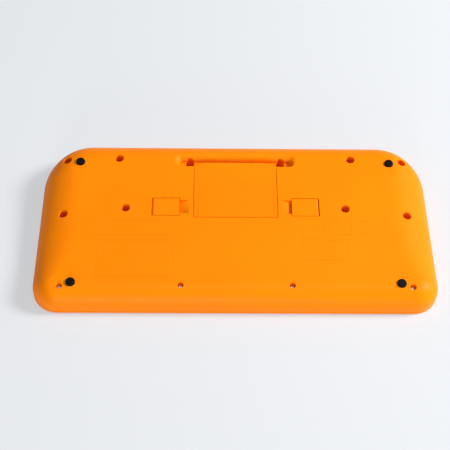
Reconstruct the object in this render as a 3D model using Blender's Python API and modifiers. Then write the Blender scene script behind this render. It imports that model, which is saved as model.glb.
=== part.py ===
"""A kids toy tablet, lying on its face, as the separate pieces that it comes apart into.

World axes: X runs along the width, Y from the near edge to the grip edge, Z up out of the underside.
The origin is under the middle of the toy, on the surface that the rim of the face rests on.
The underside, here called the deck, is a flat that climbs towards the grip edge. Deck coordinates are
(u, v, w): u along X, v up the slope, w square to the deck, with w = 0 on the deck.
"""

import math

import bmesh
import bpy
from mathutils import Matrix, Vector

MM = 0.001
DEG = math.pi / 180

# ---------------------------------------------------------------- driving dimensions

GAP = 0.3 * MM                    # between two pieces that touch on the real toy
SLIDE_GAP = 0.4 * MM              # round a piece that moves in an opening
OVERRUN = 1.0 * MM                # how far a cutter runs past what it cuts

# Outline of the body, seen from above
BODY_HALF_WIDTH = 180.8 * MM
BODY_HALF_DEPTH = 87.6 * MM
FRONT_CORNER_RADIUS = 23.0 * MM
REAR_CORNER_RADIUS = 46.0 * MM
CORNER_STEPS = 8
SIDE_STEPS = 7

# The deck, the upright wall, and how far the rounding between them reaches in over the deck
DECK_HEIGHT = 30.5 * MM           # above the table, at y = 0
DECK_TILT = 4.0 * DEG
UPRIGHT_HEIGHT = 8.4 * MM         # the wall stands upright to here all round
FRONT_ROUND = 16.0 * MM
SIDE_ROUND = 38.0 * MM
REAR_ROUND = 24.0 * MM
FRONT_BLEND_END_Y = -26.5 * MM    # the front rounding has become the side rounding here
REAR_BLEND_START_Y = 33.5 * MM    # and from here it turns into the rear rounding
ROUND_STEPS = 6

# Shell walls and the seam between the two shells
WALL = 2.5 * MM
SEAM_HEIGHT = 3.4 * MM            # height of the face shell's visible edge
FACE_EDGE_RADIUS = 1.5 * MM
RIM_WIDTH = 10.0 * MM             # rim of the face that the toy rests on
PANEL_RECESS = 2.0 * MM           # face panel behind the rim
PANEL_THICKNESS = 2.5 * MM
LIP_HEIGHT = 3.5 * MM             # lip of the face shell inside the back shell's wall
LIP_WALL = 1.2 * MM
LIP_CLEARANCE = 0.4 * MM
EMBED = 0.8 * MM                  # how far inner works stay below the outer surface

# Screws and their wells
SIDE_WELL_INSET = 23.4 * MM       # middle well in from the side
SIDE_WELL_Y = 0.8 * MM
CORNER_WELL_INSETS = (22.7 * MM, 26.6 * MM)   # rear corner well in from the side and from the rear
REAR_WELL_INSETS = (19.2 * MM, 25.6 * MM)     # from the board's side and from the rear
BOARD_WELL_INSETS = (10.8 * MM, 6.7 * MM)     # from the board's side and from the middle
TROUGH_WELL_INSETS = (15.9 * MM, 6.9 * MM)    # from the cover's lip and from the trough's near edge
FRONT_CORNER_WELL_INSETS = (25.6 * MM, 13.4 * MM)
FRONT_WELL_X = 49.2 * MM
FRONT_WELL_INSET = 14.5 * MM
DEEP_WELL_BORE = 8.0 * MM
SHALLOW_WELL_BORE = 5.4 * MM
WELL_WALL = 1.6 * MM
WELL_FLOOR = 2.2 * MM
DEEP_SEAT_HEIGHT = 14.5 * MM      # height of the floor that a deep screw's head sits on
SHALLOW_SEAT_DEPTH = 5.0 * MM     # below the deck
SCREW_HEAD_HEIGHT = 1.9 * MM
SCREW_HEAD_FLAT = 0.7             # flat top of a pan head, as a share of its diameter
SCREW_HEAD_SIDE = 0.5             # upright side of a pan head, as a share of its height
HEAD_CLEARANCE = 0.8 * MM         # between a head and its well, each side
SHANK_DIAMETER = 2.6 * MM
SHANK_LENGTH = 9.0 * MM
POST_WALL = 1.9 * MM
ROUND_PIECE_STEPS = 16
WELL_STEPS = 12
SCREW_STEPS = 10

# Rubber feet
FOOT_SIDE_INSET = 35.4 * MM
FOOT_REAR_INSET = 29.9 * MM
FOOT_FRONT_INSET = 16.5 * MM
FOOT_DIAMETER = 7.8 * MM
FOOT_SEAT_DEPTH = 1.2 * MM
FOOT_PROUD = 2.0 * MM
FOOT_EDGE = 0.7 * MM

# Battery compartment: three round cells side by side, along X
CELL_DIAMETER = 14.2 * MM
CELL_BODY_LENGTH = 49.2 * MM
CELL_NUB_DIAMETER = 5.5 * MM
CELL_NUB_LENGTH = 1.3 * MM
CELL_COUNT = 3
CELL_PITCH = 14.9 * MM
BAY_CENTRE_V = 25.25 * MM
BAY_WALL = 1.6 * MM
SPRING_LENGTH = 6.0 * MM
SPRING_TURNS = 3
SPRING_WIDE_RADIUS = 4.2 * MM
SPRING_NARROW_RADIUS = 2.6 * MM
SPRING_WIRE = 0.7 * MM
SPRING_STEPS = 9                  # straight pieces in one turn
CONTACT_THICKNESS = 0.5 * MM
CONTACT_SIZE = 9.0 * MM

# Battery cover
COVER_HALF_WIDTH = 38.4 * MM
COVER_FRONT_V = -3.0 * MM
COVER_SHOULDER_V = 53.5 * MM      # where its sides end, at the near edge of the trough
COVER_LIP_V = 57.9 * MM           # far edge of the pull lip
COVER_LIP_HALF_WIDTH = 26.8 * MM
COVER_THICKNESS = 2.0 * MM
COVER_SUNK = 0.1 * MM             # below the deck
TAB_X = 24.0 * MM
TAB_WIDTH = 8.0 * MM
TAB_REACH = 2.9 * MM
TAB_THICKNESS = 1.5 * MM
SHELL_OVER_TAB = 1.2 * MM
TONGUE_WIDTH = 14.0 * MM
TONGUE_THICKNESS = 1.2 * MM
TONGUE_LENGTH = 3.6 * MM

# Hand grip trough in the rear edge: steep under the cover's lip, then ramped up towards the rear
TROUGH_NEAR_V = 53.5 * MM
TROUGH_FLOOR_V = 57.0 * MM        # the flat of its floor ends and the ramp starts here
TROUGH_FAR_V = 68.6 * MM          # the ramp reaches the height of the deck here
TROUGH_DEPTH = 5.6 * MM
TROUGH_HALF_LENGTH = 56.4 * MM
TROUGH_END_SHARE = 0.7            # length of an end's ramp, as a share of the far ramp's
TROUGH_CORNER_SHARE = 0.45        # corner radius, as a share of the width at that height
TROUGH_STEPS = 7
TROUGH_CORNER_STEPS = 6

# Fold-out tilt feet, one on each side of the cover
POCKET_INNER_X = 51.2 * MM
POCKET_OUTER_X = 76.9 * MM
POCKET_NEAR_V = -1.7 * MM
POCKET_FAR_V = 17.9 * MM
TILT_FOOT_THICKNESS = 3.8 * MM
TILT_FOOT_SUNK = 0.2 * MM
TILT_PIN_DIAMETER = 1.8 * MM
TILT_PIN_HOLD = 2.4 * MM          # how far the pin reaches into each wall of the pocket
SCOOP_LENGTH = 8.7 * MM
SCOOP_WIDTH = 14.6 * MM
SCOOP_DEPTH = 3.4 * MM

# Main board, and what is mounted on it
BOARD_HALF_WIDTH = 90.0 * MM
BOARD_FRONT_Y = -64.5 * MM
BOARD_REAR_Y = 50.5 * MM
BOARD_UNDER_HEIGHT = 8.9 * MM
BOARD_THICKNESS = 1.6 * MM
STANDOFF_INSET = 4.5 * MM
STANDOFF_DIAMETER = 6.4 * MM
BOARD_SCREW_SHANK = 2.2 * MM
BOARD_SCREW_LENGTH = 4.2 * MM
CHIP_X = -52.0 * MM
CHIP_Y = -24.5 * MM
CHIP_SIZE = 14.0 * MM
CHIP_THICKNESS = 1.8 * MM

# Keys
KEY_COLUMNS = 5
KEY_ROWS_Y = (-21.5 * MM, -47.5 * MM)
KEY_PITCH = 32.0 * MM
KEY_WIDTH = 24.0 * MM
KEY_DEPTH = 17.0 * MM
KEY_CORNER = 3.5 * MM
KEY_FLANGE = 1.5 * MM             # flange beyond the cap, each side
KEY_FLANGE_THICKNESS = 1.0 * MM
KEY_PLUNGER_HEIGHT = 0.5 * MM
KEY_SUNK = 0.7 * MM               # cap behind the plane of the rim
KEY_EDGE = 0.6 * MM
MAT_THICKNESS = 0.8 * MM
ROUND_KEY_X = 70.0 * MM
ROUND_KEY_Y = 26.5 * MM
ROUND_KEY_DIAMETER = 16.0 * MM

# Display
DISPLAY_Y = 26.5 * MM
DISPLAY_WIDTH = 104.0 * MM
DISPLAY_DEPTH = 48.0 * MM
WINDOW_WIDTH = 100.0 * MM
WINDOW_DEPTH = 44.0 * MM
WINDOW_LEDGE = 4.0 * MM
WINDOW_THICKNESS = 0.9 * MM

# Speaker
SPEAKER_INSET = 52.8 * MM         # its middle, in from the side
SPEAKER_Y = 29.5 * MM
SPEAKER_DIAMETER = 44.0 * MM
SPEAKER_HEIGHT = 7.4 * MM
SPEAKER_SHEET = 1.0 * MM
SPEAKER_BASE_DIAMETER = 25.0 * MM
SPEAKER_RIM = 1.5 * MM            # flat rim of the basket
CONE_RISE = 0.45                  # share of the basket's height that the cone fills
DUST_CAP_SHARE = 0.4              # dust cap, as a share of the basket's base
MAGNET_DIAMETER = 22.0 * MM
MAGNET_HEIGHT = 5.5 * MM
SPEAKER_RING_WALL = 1.6 * MM
SPEAKER_RING_HEIGHT = 3.0 * MM
SPEAKER_STEPS = 24
GRILLE_SLOTS = 7
GRILLE_PITCH = 4.6 * MM
GRILLE_SLOT = 2.0 * MM

# Power switch
SWITCH_INSET = 52.8 * MM          # its middle, in from the side
SWITCH_Y = 29.5 * MM
SWITCH_TRAVEL = 6.0 * MM
SWITCH_CAP_LENGTH = 9.0 * MM
SWITCH_CAP_WIDTH = 6.0 * MM
SWITCH_BODY_LENGTH = 14.0 * MM
SWITCH_BODY_WIDTH = 8.0 * MM
SWITCH_BODY_HEIGHT = 3.0 * MM
SWITCH_FLANGE = 3.5 * MM
SWITCH_FLANGE_THICKNESS = 0.9 * MM
SWITCH_BOARD_LENGTH = 18.0 * MM
SWITCH_BOARD_WIDTH = 32.0 * MM
SWITCH_BOARD_THICKNESS = 1.2 * MM
SWITCH_STANDOFF_Y = 12.0 * MM

# Wires
WIRE_DIAMETER = 1.4 * MM
WIRE_STEPS = 16
WIRE_LEAD = 5.0 * MM              # straight part where a wire leaves the battery box
WIRE_DROP = 3.0 * MM              # and above the board
WIRE_REACH = 14.0 * MM            # how far out from the battery box it ends
WIRE_SWEEP = 6.0 * MM             # how far it sweeps towards the near edge
RED_WIRE_V = 13.5 * MM
BLACK_WIRE_V = 37.5 * MM

# ---------------------------------------------------------------- worked out from those

FRONT_Y = -BODY_HALF_DEPTH
REAR_Y = BODY_HALF_DEPTH
DECK = Matrix.Translation((0, 0, DECK_HEIGHT)) @ Matrix.Rotation(DECK_TILT, 4, "X")

FOOT_X = BODY_HALF_WIDTH - FOOT_SIDE_INSET
FOOT_REAR_V = REAR_Y - FOOT_REAR_INSET
FOOT_FRONT_V = FRONT_Y + FOOT_FRONT_INSET
SPEAKER_X = SPEAKER_INSET - BODY_HALF_WIDTH
SWITCH_X = BODY_HALF_WIDTH - SWITCH_INSET

DEEP_WELL_PLACES = (
    (BOARD_HALF_WIDTH + REAR_WELL_INSETS[0], REAR_Y - REAR_WELL_INSETS[1]),
    (BODY_HALF_WIDTH - CORNER_WELL_INSETS[0], REAR_Y - CORNER_WELL_INSETS[1]),
    (BODY_HALF_WIDTH - SIDE_WELL_INSET, SIDE_WELL_Y),
    (BOARD_HALF_WIDTH + BOARD_WELL_INSETS[0], BOARD_WELL_INSETS[1]),
    (COVER_LIP_HALF_WIDTH + TROUGH_WELL_INSETS[0], TROUGH_NEAR_V + TROUGH_WELL_INSETS[1]),
)
SHALLOW_WELL_PLACES = (
    (BODY_HALF_WIDTH - FRONT_CORNER_WELL_INSETS[0], FRONT_Y + FRONT_CORNER_WELL_INSETS[1]),
    (FRONT_WELL_X, FRONT_Y + FRONT_WELL_INSET),
)

BACK_RIM_HEIGHT = SEAM_HEIGHT + GAP
PANEL_TOP = PANEL_RECESS + PANEL_THICKNESS
LIP_INSET = WALL + LIP_CLEARANCE
LIP_TOP = SEAM_HEIGHT + LIP_HEIGHT

COVER_TOP_W = -COVER_SUNK
COVER_UNDER_W = COVER_TOP_W - COVER_THICKNESS
SEAT_W = COVER_UNDER_W - GAP
SEAT_FRONT_V = COVER_FRONT_V - SLIDE_GAP
SEAT_HALF_WIDTH = COVER_HALF_WIDTH + SLIDE_GAP

CELL_LENGTH = CELL_BODY_LENGTH + CELL_NUB_LENGTH
BAY_HALF_LENGTH = (CELL_LENGTH + SPRING_LENGTH + 2 * CONTACT_THICKNESS + 5 * GAP) / 2
BAY_HALF_DEPTH = (CELL_PITCH * (CELL_COUNT - 1) + CELL_DIAMETER) / 2 + 2 * GAP
BAY_FLOOR_W = SEAT_W - CELL_DIAMETER - 3 * GAP
CELL_W = BAY_FLOOR_W + GAP + CELL_DIAMETER / 2

TROUGH_RAMP = TROUGH_FAR_V - TROUGH_FLOOR_V
TROUGH_RADIUS = (TROUGH_RAMP ** 2 + TROUGH_DEPTH ** 2) / (2 * TROUGH_DEPTH)
LIP_CLEAR_V = COVER_LIP_V + OVERRUN

POCKET_CENTRE_V = (POCKET_NEAR_V + POCKET_FAR_V) / 2
TILT_PIN_W = -TILT_FOOT_SUNK - TILT_FOOT_THICKNESS / 2
TILT_PIN_X = POCKET_OUTER_X - SLIDE_GAP - TILT_FOOT_THICKNESS / 2
POCKET_FLOOR_W = -TILT_FOOT_SUNK - TILT_FOOT_THICKNESS - 2 * GAP
DECK_OVERRUN = 7.5 * MM           # above the deck, clear of everything on it

BOARD_TOP = BOARD_UNDER_HEIGHT + BOARD_THICKNESS
FLANGE_HEIGHT = PANEL_TOP + GAP
MAT_TOP = BOARD_UNDER_HEIGHT - GAP
DISPLAY_TOP = BOARD_UNDER_HEIGHT - GAP


def smooth(t):
    """An S-curve from 0 to 1."""
    t = min(max(t, 0.0), 1.0)
    return t * t * (3 - 2 * t)


def rounding_at(y):
    """How far the rounding reaches in from the outline, blended from front to side to rear."""
    to_side = smooth((y - FRONT_Y) / (FRONT_BLEND_END_Y - FRONT_Y))
    to_rear = smooth((y - REAR_BLEND_START_Y) / (REAR_Y - REAR_BLEND_START_Y))
    return FRONT_ROUND + (SIDE_ROUND - FRONT_ROUND) * to_side + (REAR_ROUND - SIDE_ROUND) * to_rear


def deck_height(y):
    """Height of the deck's flat above the table."""
    return DECK_HEIGHT + y * math.tan(DECK_TILT)


# ---------------------------------------------------------------- scene and materials

for old in list(bpy.data.objects):
    bpy.data.objects.remove(old, do_unlink=True)

PARTS = bpy.data.collections.new("kids_toy_tablet")
CUTTERS = bpy.data.collections.new("cutters")
bpy.context.scene.collection.children.link(PARTS)
bpy.context.scene.collection.children.link(CUTTERS)


def make_material(name, colour, roughness, metallic=0.0):
    material = bpy.data.materials.new(name)
    material.use_nodes = True
    shader = material.node_tree.nodes["Principled BSDF"]
    shader.inputs["Base Color"].default_value = (*colour, 1.0)
    shader.inputs["Roughness"].default_value = roughness
    shader.inputs["Metallic"].default_value = metallic
    return material


ORANGE = make_material("orange_shell_plastic", (1.0, 0.30, 0.0), 0.42)
COVER_ORANGE = make_material("orange_cover_plastic", (1.0, 0.30, 0.0), 0.40)
TILT_ORANGE = make_material("orange_tilt_foot_plastic", (1.0, 0.30, 0.0), 0.40)
FACE_ORANGE = make_material("orange_face_plastic", (1.0, 0.30, 0.0), 0.45)
BLACK_RUBBER = make_material("black_rubber", (0.012, 0.013, 0.016), 0.6)
STEEL = make_material("plated_steel", (0.62, 0.60, 0.58), 0.35, 1.0)
PIN_STEEL = make_material("pin_steel", (0.55, 0.55, 0.56), 0.3, 1.0)
SPRING_STEEL = make_material("spring_steel", (0.60, 0.61, 0.63), 0.28, 1.0)
NICKEL = make_material("nickel_contact", (0.66, 0.64, 0.60), 0.3, 1.0)
CELL_JACKET = make_material("cell_jacket", (0.05, 0.12, 0.30), 0.35)
BOARD_GREEN = make_material("board_green", (0.01, 0.16, 0.06), 0.5)
CHIP_BLACK = make_material("chip_black", (0.02, 0.02, 0.022), 0.55)
MAT_RUBBER = make_material("grey_key_mat_rubber", (0.30, 0.31, 0.33), 0.7)
DISPLAY_GREY = make_material("display_glass_grey", (0.24, 0.28, 0.24), 0.25)
CLEAR_WINDOW = make_material("smoked_window", (0.06, 0.07, 0.08), 0.08)
BASKET_STEEL = make_material("basket_steel", (0.45, 0.45, 0.46), 0.45, 1.0)
CONE_PAPER = make_material("cone_paper", (0.03, 0.03, 0.03), 0.85)
MAGNET_FERRITE = make_material("magnet_ferrite", (0.06, 0.06, 0.065), 0.6)
SWITCH_BLACK = make_material("switch_black", (0.02, 0.02, 0.02), 0.5)
KNOB_WHITE = make_material("knob_white", (0.85, 0.85, 0.82), 0.4)
RED_WIRE = make_material("red_wire", (0.55, 0.01, 0.01), 0.5)
BLACK_WIRE = make_material("black_wire", (0.015, 0.015, 0.015), 0.5)
KEY_COLOURS = (
    make_material("key_red", (0.75, 0.03, 0.02), 0.4),
    make_material("key_yellow", (0.95, 0.62, 0.02), 0.4),
    make_material("key_green", (0.08, 0.50, 0.08), 0.4),
    make_material("key_blue", (0.02, 0.20, 0.70), 0.4),
)


# ---------------------------------------------------------------- modelling helpers

def add_object(name, mesh, material=None):
    """Put a mesh in the scene: with a material it is a piece, without one a cutter."""
    piece = bpy.data.objects.new(name, mesh)
    if material is None:
        CUTTERS.objects.link(piece)
        piece.hide_render = True
        piece.display_type = "WIRE"
    else:
        PARTS.objects.link(piece)
        mesh.materials.append(material)
        mesh.shade_smooth()
        mesh.set_sharp_from_angle(angle=35 * DEG)
    return piece


def finish(name, bm, material=None, matrix=None):
    """Turn a bmesh into an object, first moving its points by the matrix."""
    if matrix is not None:
        bmesh.ops.transform(bm, matrix=matrix, verts=bm.verts)
    mesh = bpy.data.meshes.new(name)
    bm.to_mesh(mesh)
    bm.free()
    return add_object(name, mesh, material)


def add_box(bm, low, high):
    """Add a box between two opposite corners."""
    low, high = Vector(low), Vector(high)
    size = Matrix.Diagonal((*(high - low), 1.0))
    bmesh.ops.create_cube(bm, size=1.0, matrix=Matrix.Translation((low + high) / 2) @ size)


def add_rod(bm, radius, start, end, steps=ROUND_PIECE_STEPS):
    """Add a closed cylinder between two points."""
    start, end = Vector(start), Vector(end)
    turn = (end - start).to_track_quat("Z", "Y").to_matrix().to_4x4()
    bmesh.ops.create_cone(
        bm, cap_ends=True, segments=steps, radius1=radius, radius2=radius, depth=(end - start).length,
        matrix=Matrix.Translation((start + end) / 2) @ turn)


def skin(bm, rings):
    """Skin a closed solid over rings of points that run anticlockwise, lowest ring first."""
    loops = [[bm.verts.new(point) for point in ring] for ring in rings]
    for lower, upper in zip(loops, loops[1:]):
        for i, corner in enumerate(lower):
            after = (i + 1) % len(lower)
            bm.faces.new((corner, lower[after], upper[after], upper[i]))
    bm.faces.new(reversed(loops[0]))
    bm.faces.new(loops[-1])


def rounded_rectangle(width, depth, radius, height, centre=(0, 0), steps=3):
    """Ring of a rectangle with rounded corners at one height."""
    ring = []
    for turn, (sx, sy) in enumerate(((1, 1), (-1, 1), (-1, -1), (1, -1))):
        for step in range(steps + 1):
            angle = (turn + step / steps) * math.pi / 2
            x = sx * (width / 2 - radius) + radius * math.cos(angle)
            y = sy * (depth / 2 - radius) + radius * math.sin(angle)
            ring.append((centre[0] + x, centre[1] + y, height))
    return ring


def turned_mesh(name, profile, steps=ROUND_PIECE_STEPS):
    """Mesh of a profile of (radius, height) points, top to bottom, turned about Z."""
    outline = bpy.data.meshes.new(name)
    points = [(radius, 0, height) for radius, height in profile]
    outline.from_pydata(points, [(i, i + 1) for i in range(len(points) - 1)], [])
    lathe = bpy.data.objects.new(name, outline)
    CUTTERS.objects.link(lathe)
    screw = lathe.modifiers.new("turn", "SCREW")
    screw.steps = steps
    screw.render_steps = steps
    screw.use_merge_vertices = True
    screw.merge_threshold = 0.00001
    mesh = evaluated_mesh(lathe)
    bpy.data.objects.remove(lathe)
    return mesh


def evaluated_mesh(piece):
    """Copy of an object's mesh with its modifiers applied, in the object's own axes."""
    bpy.context.view_layer.update()
    graph = bpy.context.evaluated_depsgraph_get()
    return bpy.data.meshes.new_from_object(piece.evaluated_get(graph))


def add_turned(name, mesh, material):
    """Piece with its own copy of a turned mesh."""
    return add_object(name, mesh.copy(), material)


def boolean(piece, tool, operation):
    """Cut, join or trim a piece with a tool that stays in the scene."""
    modifier = piece.modifiers.new(f"{operation.lower()}_{tool.name}", "BOOLEAN")
    modifier.operation = operation
    modifier.solver = "EXACT"
    modifier.object = tool


def both_sides(places):
    """Places on the right and their mirror images on the left."""
    return [(side * x, y) for x, y in places for side in (-1, 1)]


# ---------------------------------------------------------------- the rounded wedge of the body

def outline_points():
    """Points of the body's outline with their outward directions, anticlockwise from the right side."""
    half, rear, front = BODY_HALF_WIDTH, REAR_CORNER_RADIUS, FRONT_CORNER_RADIUS
    rear_y, front_y = REAR_Y - rear, FRONT_Y + front
    corners = (
        (half - rear, rear_y, rear), (rear - half, rear_y, rear),
        (front - half, front_y, front), (half - front, front_y, front),
    )
    points = []
    for quarter, (x, y, radius) in enumerate(corners):
        for step in range(CORNER_STEPS + 1):
            angle = (quarter + step / CORNER_STEPS) * math.pi / 2
            outward = (math.cos(angle), math.sin(angle))
            points.append((x + radius * outward[0], y + radius * outward[1], *outward))
        if quarter % 2:
            side = -1 if quarter == 1 else 1
            first, last = (rear_y, front_y) if quarter == 1 else (front_y, rear_y)
            for step in range(1, SIDE_STEPS):
                points.append((side * half, first + (last - first) * step / SIDE_STEPS, side, 0))
    return points


def wedge_rings(inset, bottom):
    """Rings of the body's outer surface drawn in by inset, from the height bottom up to the deck."""
    points = outline_points()
    rings = [[(x - nx * inset, y - ny * inset, bottom) for x, y, nx, ny in points]]
    for step in range(ROUND_STEPS + 1):
        angle = step / ROUND_STEPS * math.pi / 2
        ring = []
        for x, y, nx, ny in points:
            inward = inset + (rounding_at(y) - inset) * (1 - math.cos(angle))
            py = y - ny * inward
            top = deck_height(py) - inset
            ring.append((x - nx * inward, py, top - (top - UPRIGHT_HEIGHT) * (1 - math.sin(angle))))
        rings.append(ring)
    return rings


def flat_ring(inset, height):
    """Ring along the body's outline, drawn in by inset, at one height."""
    return [(x - nx * inset, y - ny * inset, height) for x, y, nx, ny in outline_points()]


# ---------------------------------------------------------------- screws

def screw_head_diameter(bore):
    return bore - 2 * HEAD_CLEARANCE


def shallow_seat_height(y):
    return deck_height(y) - SHALLOW_SEAT_DEPTH


def wells():
    """Every screw place: x, y, bore of its well and height of the floor under its head."""
    places = [(x, y, DEEP_WELL_BORE, DEEP_SEAT_HEIGHT) for x, y in both_sides(DEEP_WELL_PLACES)]
    for x, y in both_sides(SHALLOW_WELL_PLACES):
        places.append((x, y, SHALLOW_WELL_BORE, shallow_seat_height(y)))
    return places


def screw_mesh(head_diameter):
    """Pan-head screw with the underside of its head at z = 0."""
    head, shank = head_diameter / 2, SHANK_DIAMETER / 2
    profile = (
        (0, SCREW_HEAD_HEIGHT), (head * SCREW_HEAD_FLAT, SCREW_HEAD_HEIGHT),
        (head, SCREW_HEAD_HEIGHT * SCREW_HEAD_SIDE), (head, 0),
        (shank, 0), (shank, -SHANK_LENGTH), (0, -SHANK_LENGTH),
    )
    return turned_mesh("screw", profile, SCREW_STEPS)


def make_case_screws():
    for name, bore in (("case_screw_long", DEEP_WELL_BORE), ("case_screw_short", SHALLOW_WELL_BORE)):
        mesh = screw_mesh(screw_head_diameter(bore))
        places = [(x, y, seat + GAP) for x, y, width, seat in wells() if width == bore]
        for number, place in enumerate(places, start=1):
            add_turned(f"{name}_{number:02d}", mesh, STEEL).location = place


# ---------------------------------------------------------------- back shell

def trough_rings(grow):
    """Rings of the trough in deck coordinates, larger than the real one by grow, lowest ring first."""
    rings = []
    steepest = math.asin(TROUGH_RAMP / TROUGH_RADIUS)
    for step in range(TROUGH_STEPS + 1):
        angle = step / TROUGH_STEPS * steepest
        far = TROUGH_FLOOR_V + TROUGH_RADIUS * math.sin(angle)
        height = TROUGH_RADIUS * (1 - math.cos(angle)) - TROUGH_DEPTH
        half = TROUGH_HALF_LENGTH - (TROUGH_FAR_V - far) * TROUGH_END_SHARE + grow
        width = far - TROUGH_NEAR_V
        rings.append(rounded_rectangle(
            2 * half, width + 2 * grow, TROUGH_CORNER_SHARE * width + grow, height - grow,
            (0, TROUGH_NEAR_V + width / 2), TROUGH_CORNER_STEPS))
    rings.append([(u, v, DECK_OVERRUN) for u, v, w in rings[-1]])
    return rings


def add_trimmed(shell, trim, name, bm, matrix=None):
    """Join inner works to the shell, trimmed so that they stay below its outer surface."""
    works = finish(name, bm, None, matrix)
    boolean(works, trim, "INTERSECT")
    boolean(shell, works, "UNION")


def cut(piece, name, bm, matrix=None):
    boolean(piece, finish(name, bm, None, matrix), "DIFFERENCE")


def add_inner_works(shell, trim):
    """Well tubes, pocket floors, battery box and trough floor inside the shell."""
    above = deck_height(REAR_Y) + OVERRUN
    bm = bmesh.new()
    for x, y, bore, seat in wells():
        add_rod(bm, bore / 2 + WELL_WALL, (x, y, seat - WELL_FLOOR), (x, y, above), WELL_STEPS)
    add_trimmed(shell, trim, "well_tubes", bm)

    top = DECK_OVERRUN
    bm = bmesh.new()
    add_box(bm, (-SEAT_HALF_WIDTH - BAY_WALL, SEAT_FRONT_V - BAY_WALL - TAB_REACH, SEAT_W - BAY_WALL),
            (SEAT_HALF_WIDTH + BAY_WALL, COVER_SHOULDER_V + BAY_WALL, top))
    add_trimmed(shell, trim, "cover_ledge", bm, DECK)

    bm = bmesh.new()
    half_length, half_depth = BAY_HALF_LENGTH + BAY_WALL, BAY_HALF_DEPTH + BAY_WALL
    add_box(bm, (-half_length, BAY_CENTRE_V - half_depth, BAY_FLOOR_W - BAY_WALL),
            (half_length, BAY_CENTRE_V + half_depth, top))
    add_trimmed(shell, trim, "battery_box", bm, DECK)

    bm = bmesh.new()
    half = TONGUE_WIDTH / 2 + SLIDE_GAP + 2 * BAY_WALL
    add_box(bm, (-half, COVER_SHOULDER_V - 2 * BAY_WALL, tongue_floor_w() - BAY_WALL),
            (half, tongue_notch_far_v() + 2 * BAY_WALL, top))
    add_trimmed(shell, trim, "latch_block", bm, DECK)

    bm = bmesh.new()
    skin(bm, trough_rings(WALL))
    add_trimmed(shell, trim, "trough_floor", bm, DECK)

    bm = bmesh.new()
    margin = TILT_PIN_HOLD + 4 * GAP
    for side in (-1, 1):
        inner, outer = side * (POCKET_INNER_X - SCOOP_LENGTH - BAY_WALL), side * (POCKET_OUTER_X + BAY_WALL)
        add_box(bm, (min(inner, outer), POCKET_NEAR_V - margin, POCKET_FLOOR_W - BAY_WALL),
                (max(inner, outer), POCKET_FAR_V + margin, top))
    add_trimmed(shell, trim, "pocket_boxes", bm, DECK)


def tongue_floor_w():
    """Bottom of the notch that the cover's tongue reaches into."""
    return COVER_UNDER_W - TONGUE_LENGTH - 2 * GAP


def tongue_front_v():
    """Near face of the tongue on the cover's pull lip."""
    return COVER_SHOULDER_V + SLIDE_GAP + GAP


def tongue_notch_far_v():
    """Far side of that notch, with room for the tongue's swing."""
    return tongue_front_v() + TONGUE_THICKNESS + 3 * SLIDE_GAP


def cut_openings(shell):
    """Everything that is open in the shell from outside."""
    above = deck_height(REAR_Y) + OVERRUN
    bm = bmesh.new()
    for x, y, bore, seat in wells():
        wide, narrow = bore / 2, SHANK_DIAMETER / 2 + GAP
        profile = ((0, above), (wide, above), (wide, seat), (narrow, seat), (narrow, seat - 2 * WELL_FLOOR),
                   (0, seat - 2 * WELL_FLOOR))
        well = turned_mesh("well", profile, WELL_STEPS)
        well.transform(Matrix.Translation((x, y, 0)))
        bm.from_mesh(well)
    cut(shell, "screw_wells", bm)

    bm = bmesh.new()
    seat = FOOT_DIAMETER / 2 + GAP
    for x, v in foot_places():
        add_rod(bm, seat, (x, v, -FOOT_SEAT_DEPTH), (x, v, OVERRUN))
    cut(shell, "foot_seats", bm, DECK)

    bm = bmesh.new()
    add_box(bm, (-SEAT_HALF_WIDTH, SEAT_FRONT_V, SEAT_W), (SEAT_HALF_WIDTH, LIP_CLEAR_V, DECK_OVERRUN))
    cut(shell, "cover_seat", bm, DECK)

    bm = bmesh.new()
    skin(bm, trough_rings(0))
    cut(shell, "grip_trough", bm, DECK)

    bm = bmesh.new()
    add_box(bm, (-BAY_HALF_LENGTH, BAY_CENTRE_V - BAY_HALF_DEPTH, BAY_FLOOR_W),
            (BAY_HALF_LENGTH, BAY_CENTRE_V + BAY_HALF_DEPTH, OVERRUN))
    cut(shell, "battery_bay", bm, DECK)

    bm = bmesh.new()
    for side in (-1, 1):
        reach = TAB_WIDTH / 2 + SLIDE_GAP
        add_box(bm, (side * TAB_X - reach, SEAT_FRONT_V - TAB_REACH, SEAT_W - 3 * BAY_WALL),
                (side * TAB_X + reach, SEAT_FRONT_V + TAB_REACH + 2 * TAB_THICKNESS, -SHELL_OVER_TAB))
    half = TONGUE_WIDTH / 2 + SLIDE_GAP
    add_box(bm, (-half, tongue_front_v() - SLIDE_GAP, tongue_floor_w()),
            (half, tongue_notch_far_v(), OVERRUN))
    cut(shell, "tab_and_tongue_slots", bm, DECK)

    bm = bmesh.new()
    for side in (-1, 1):
        ends = sorted((side * POCKET_INNER_X, side * POCKET_OUTER_X))
        add_box(bm, (ends[0], POCKET_NEAR_V, POCKET_FLOOR_W), (ends[1], POCKET_FAR_V, OVERRUN))
    cut(shell, "tilt_foot_pockets", bm, DECK)

    bm = bmesh.new()
    hold = TILT_PIN_HOLD + GAP
    for side in (-1, 1):
        x = side * TILT_PIN_X
        add_rod(bm, TILT_PIN_DIAMETER / 2 + GAP, (x, POCKET_NEAR_V - hold, TILT_PIN_W),
                (x, POCKET_FAR_V + hold, TILT_PIN_W), SCREW_STEPS)
    cut(shell, "pin_holes", bm, DECK)

    bm = bmesh.new()
    for side in (-1, 1):
        add_scoop(bm, side)
    cut(shell, "finger_scoops", bm, DECK)


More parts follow.
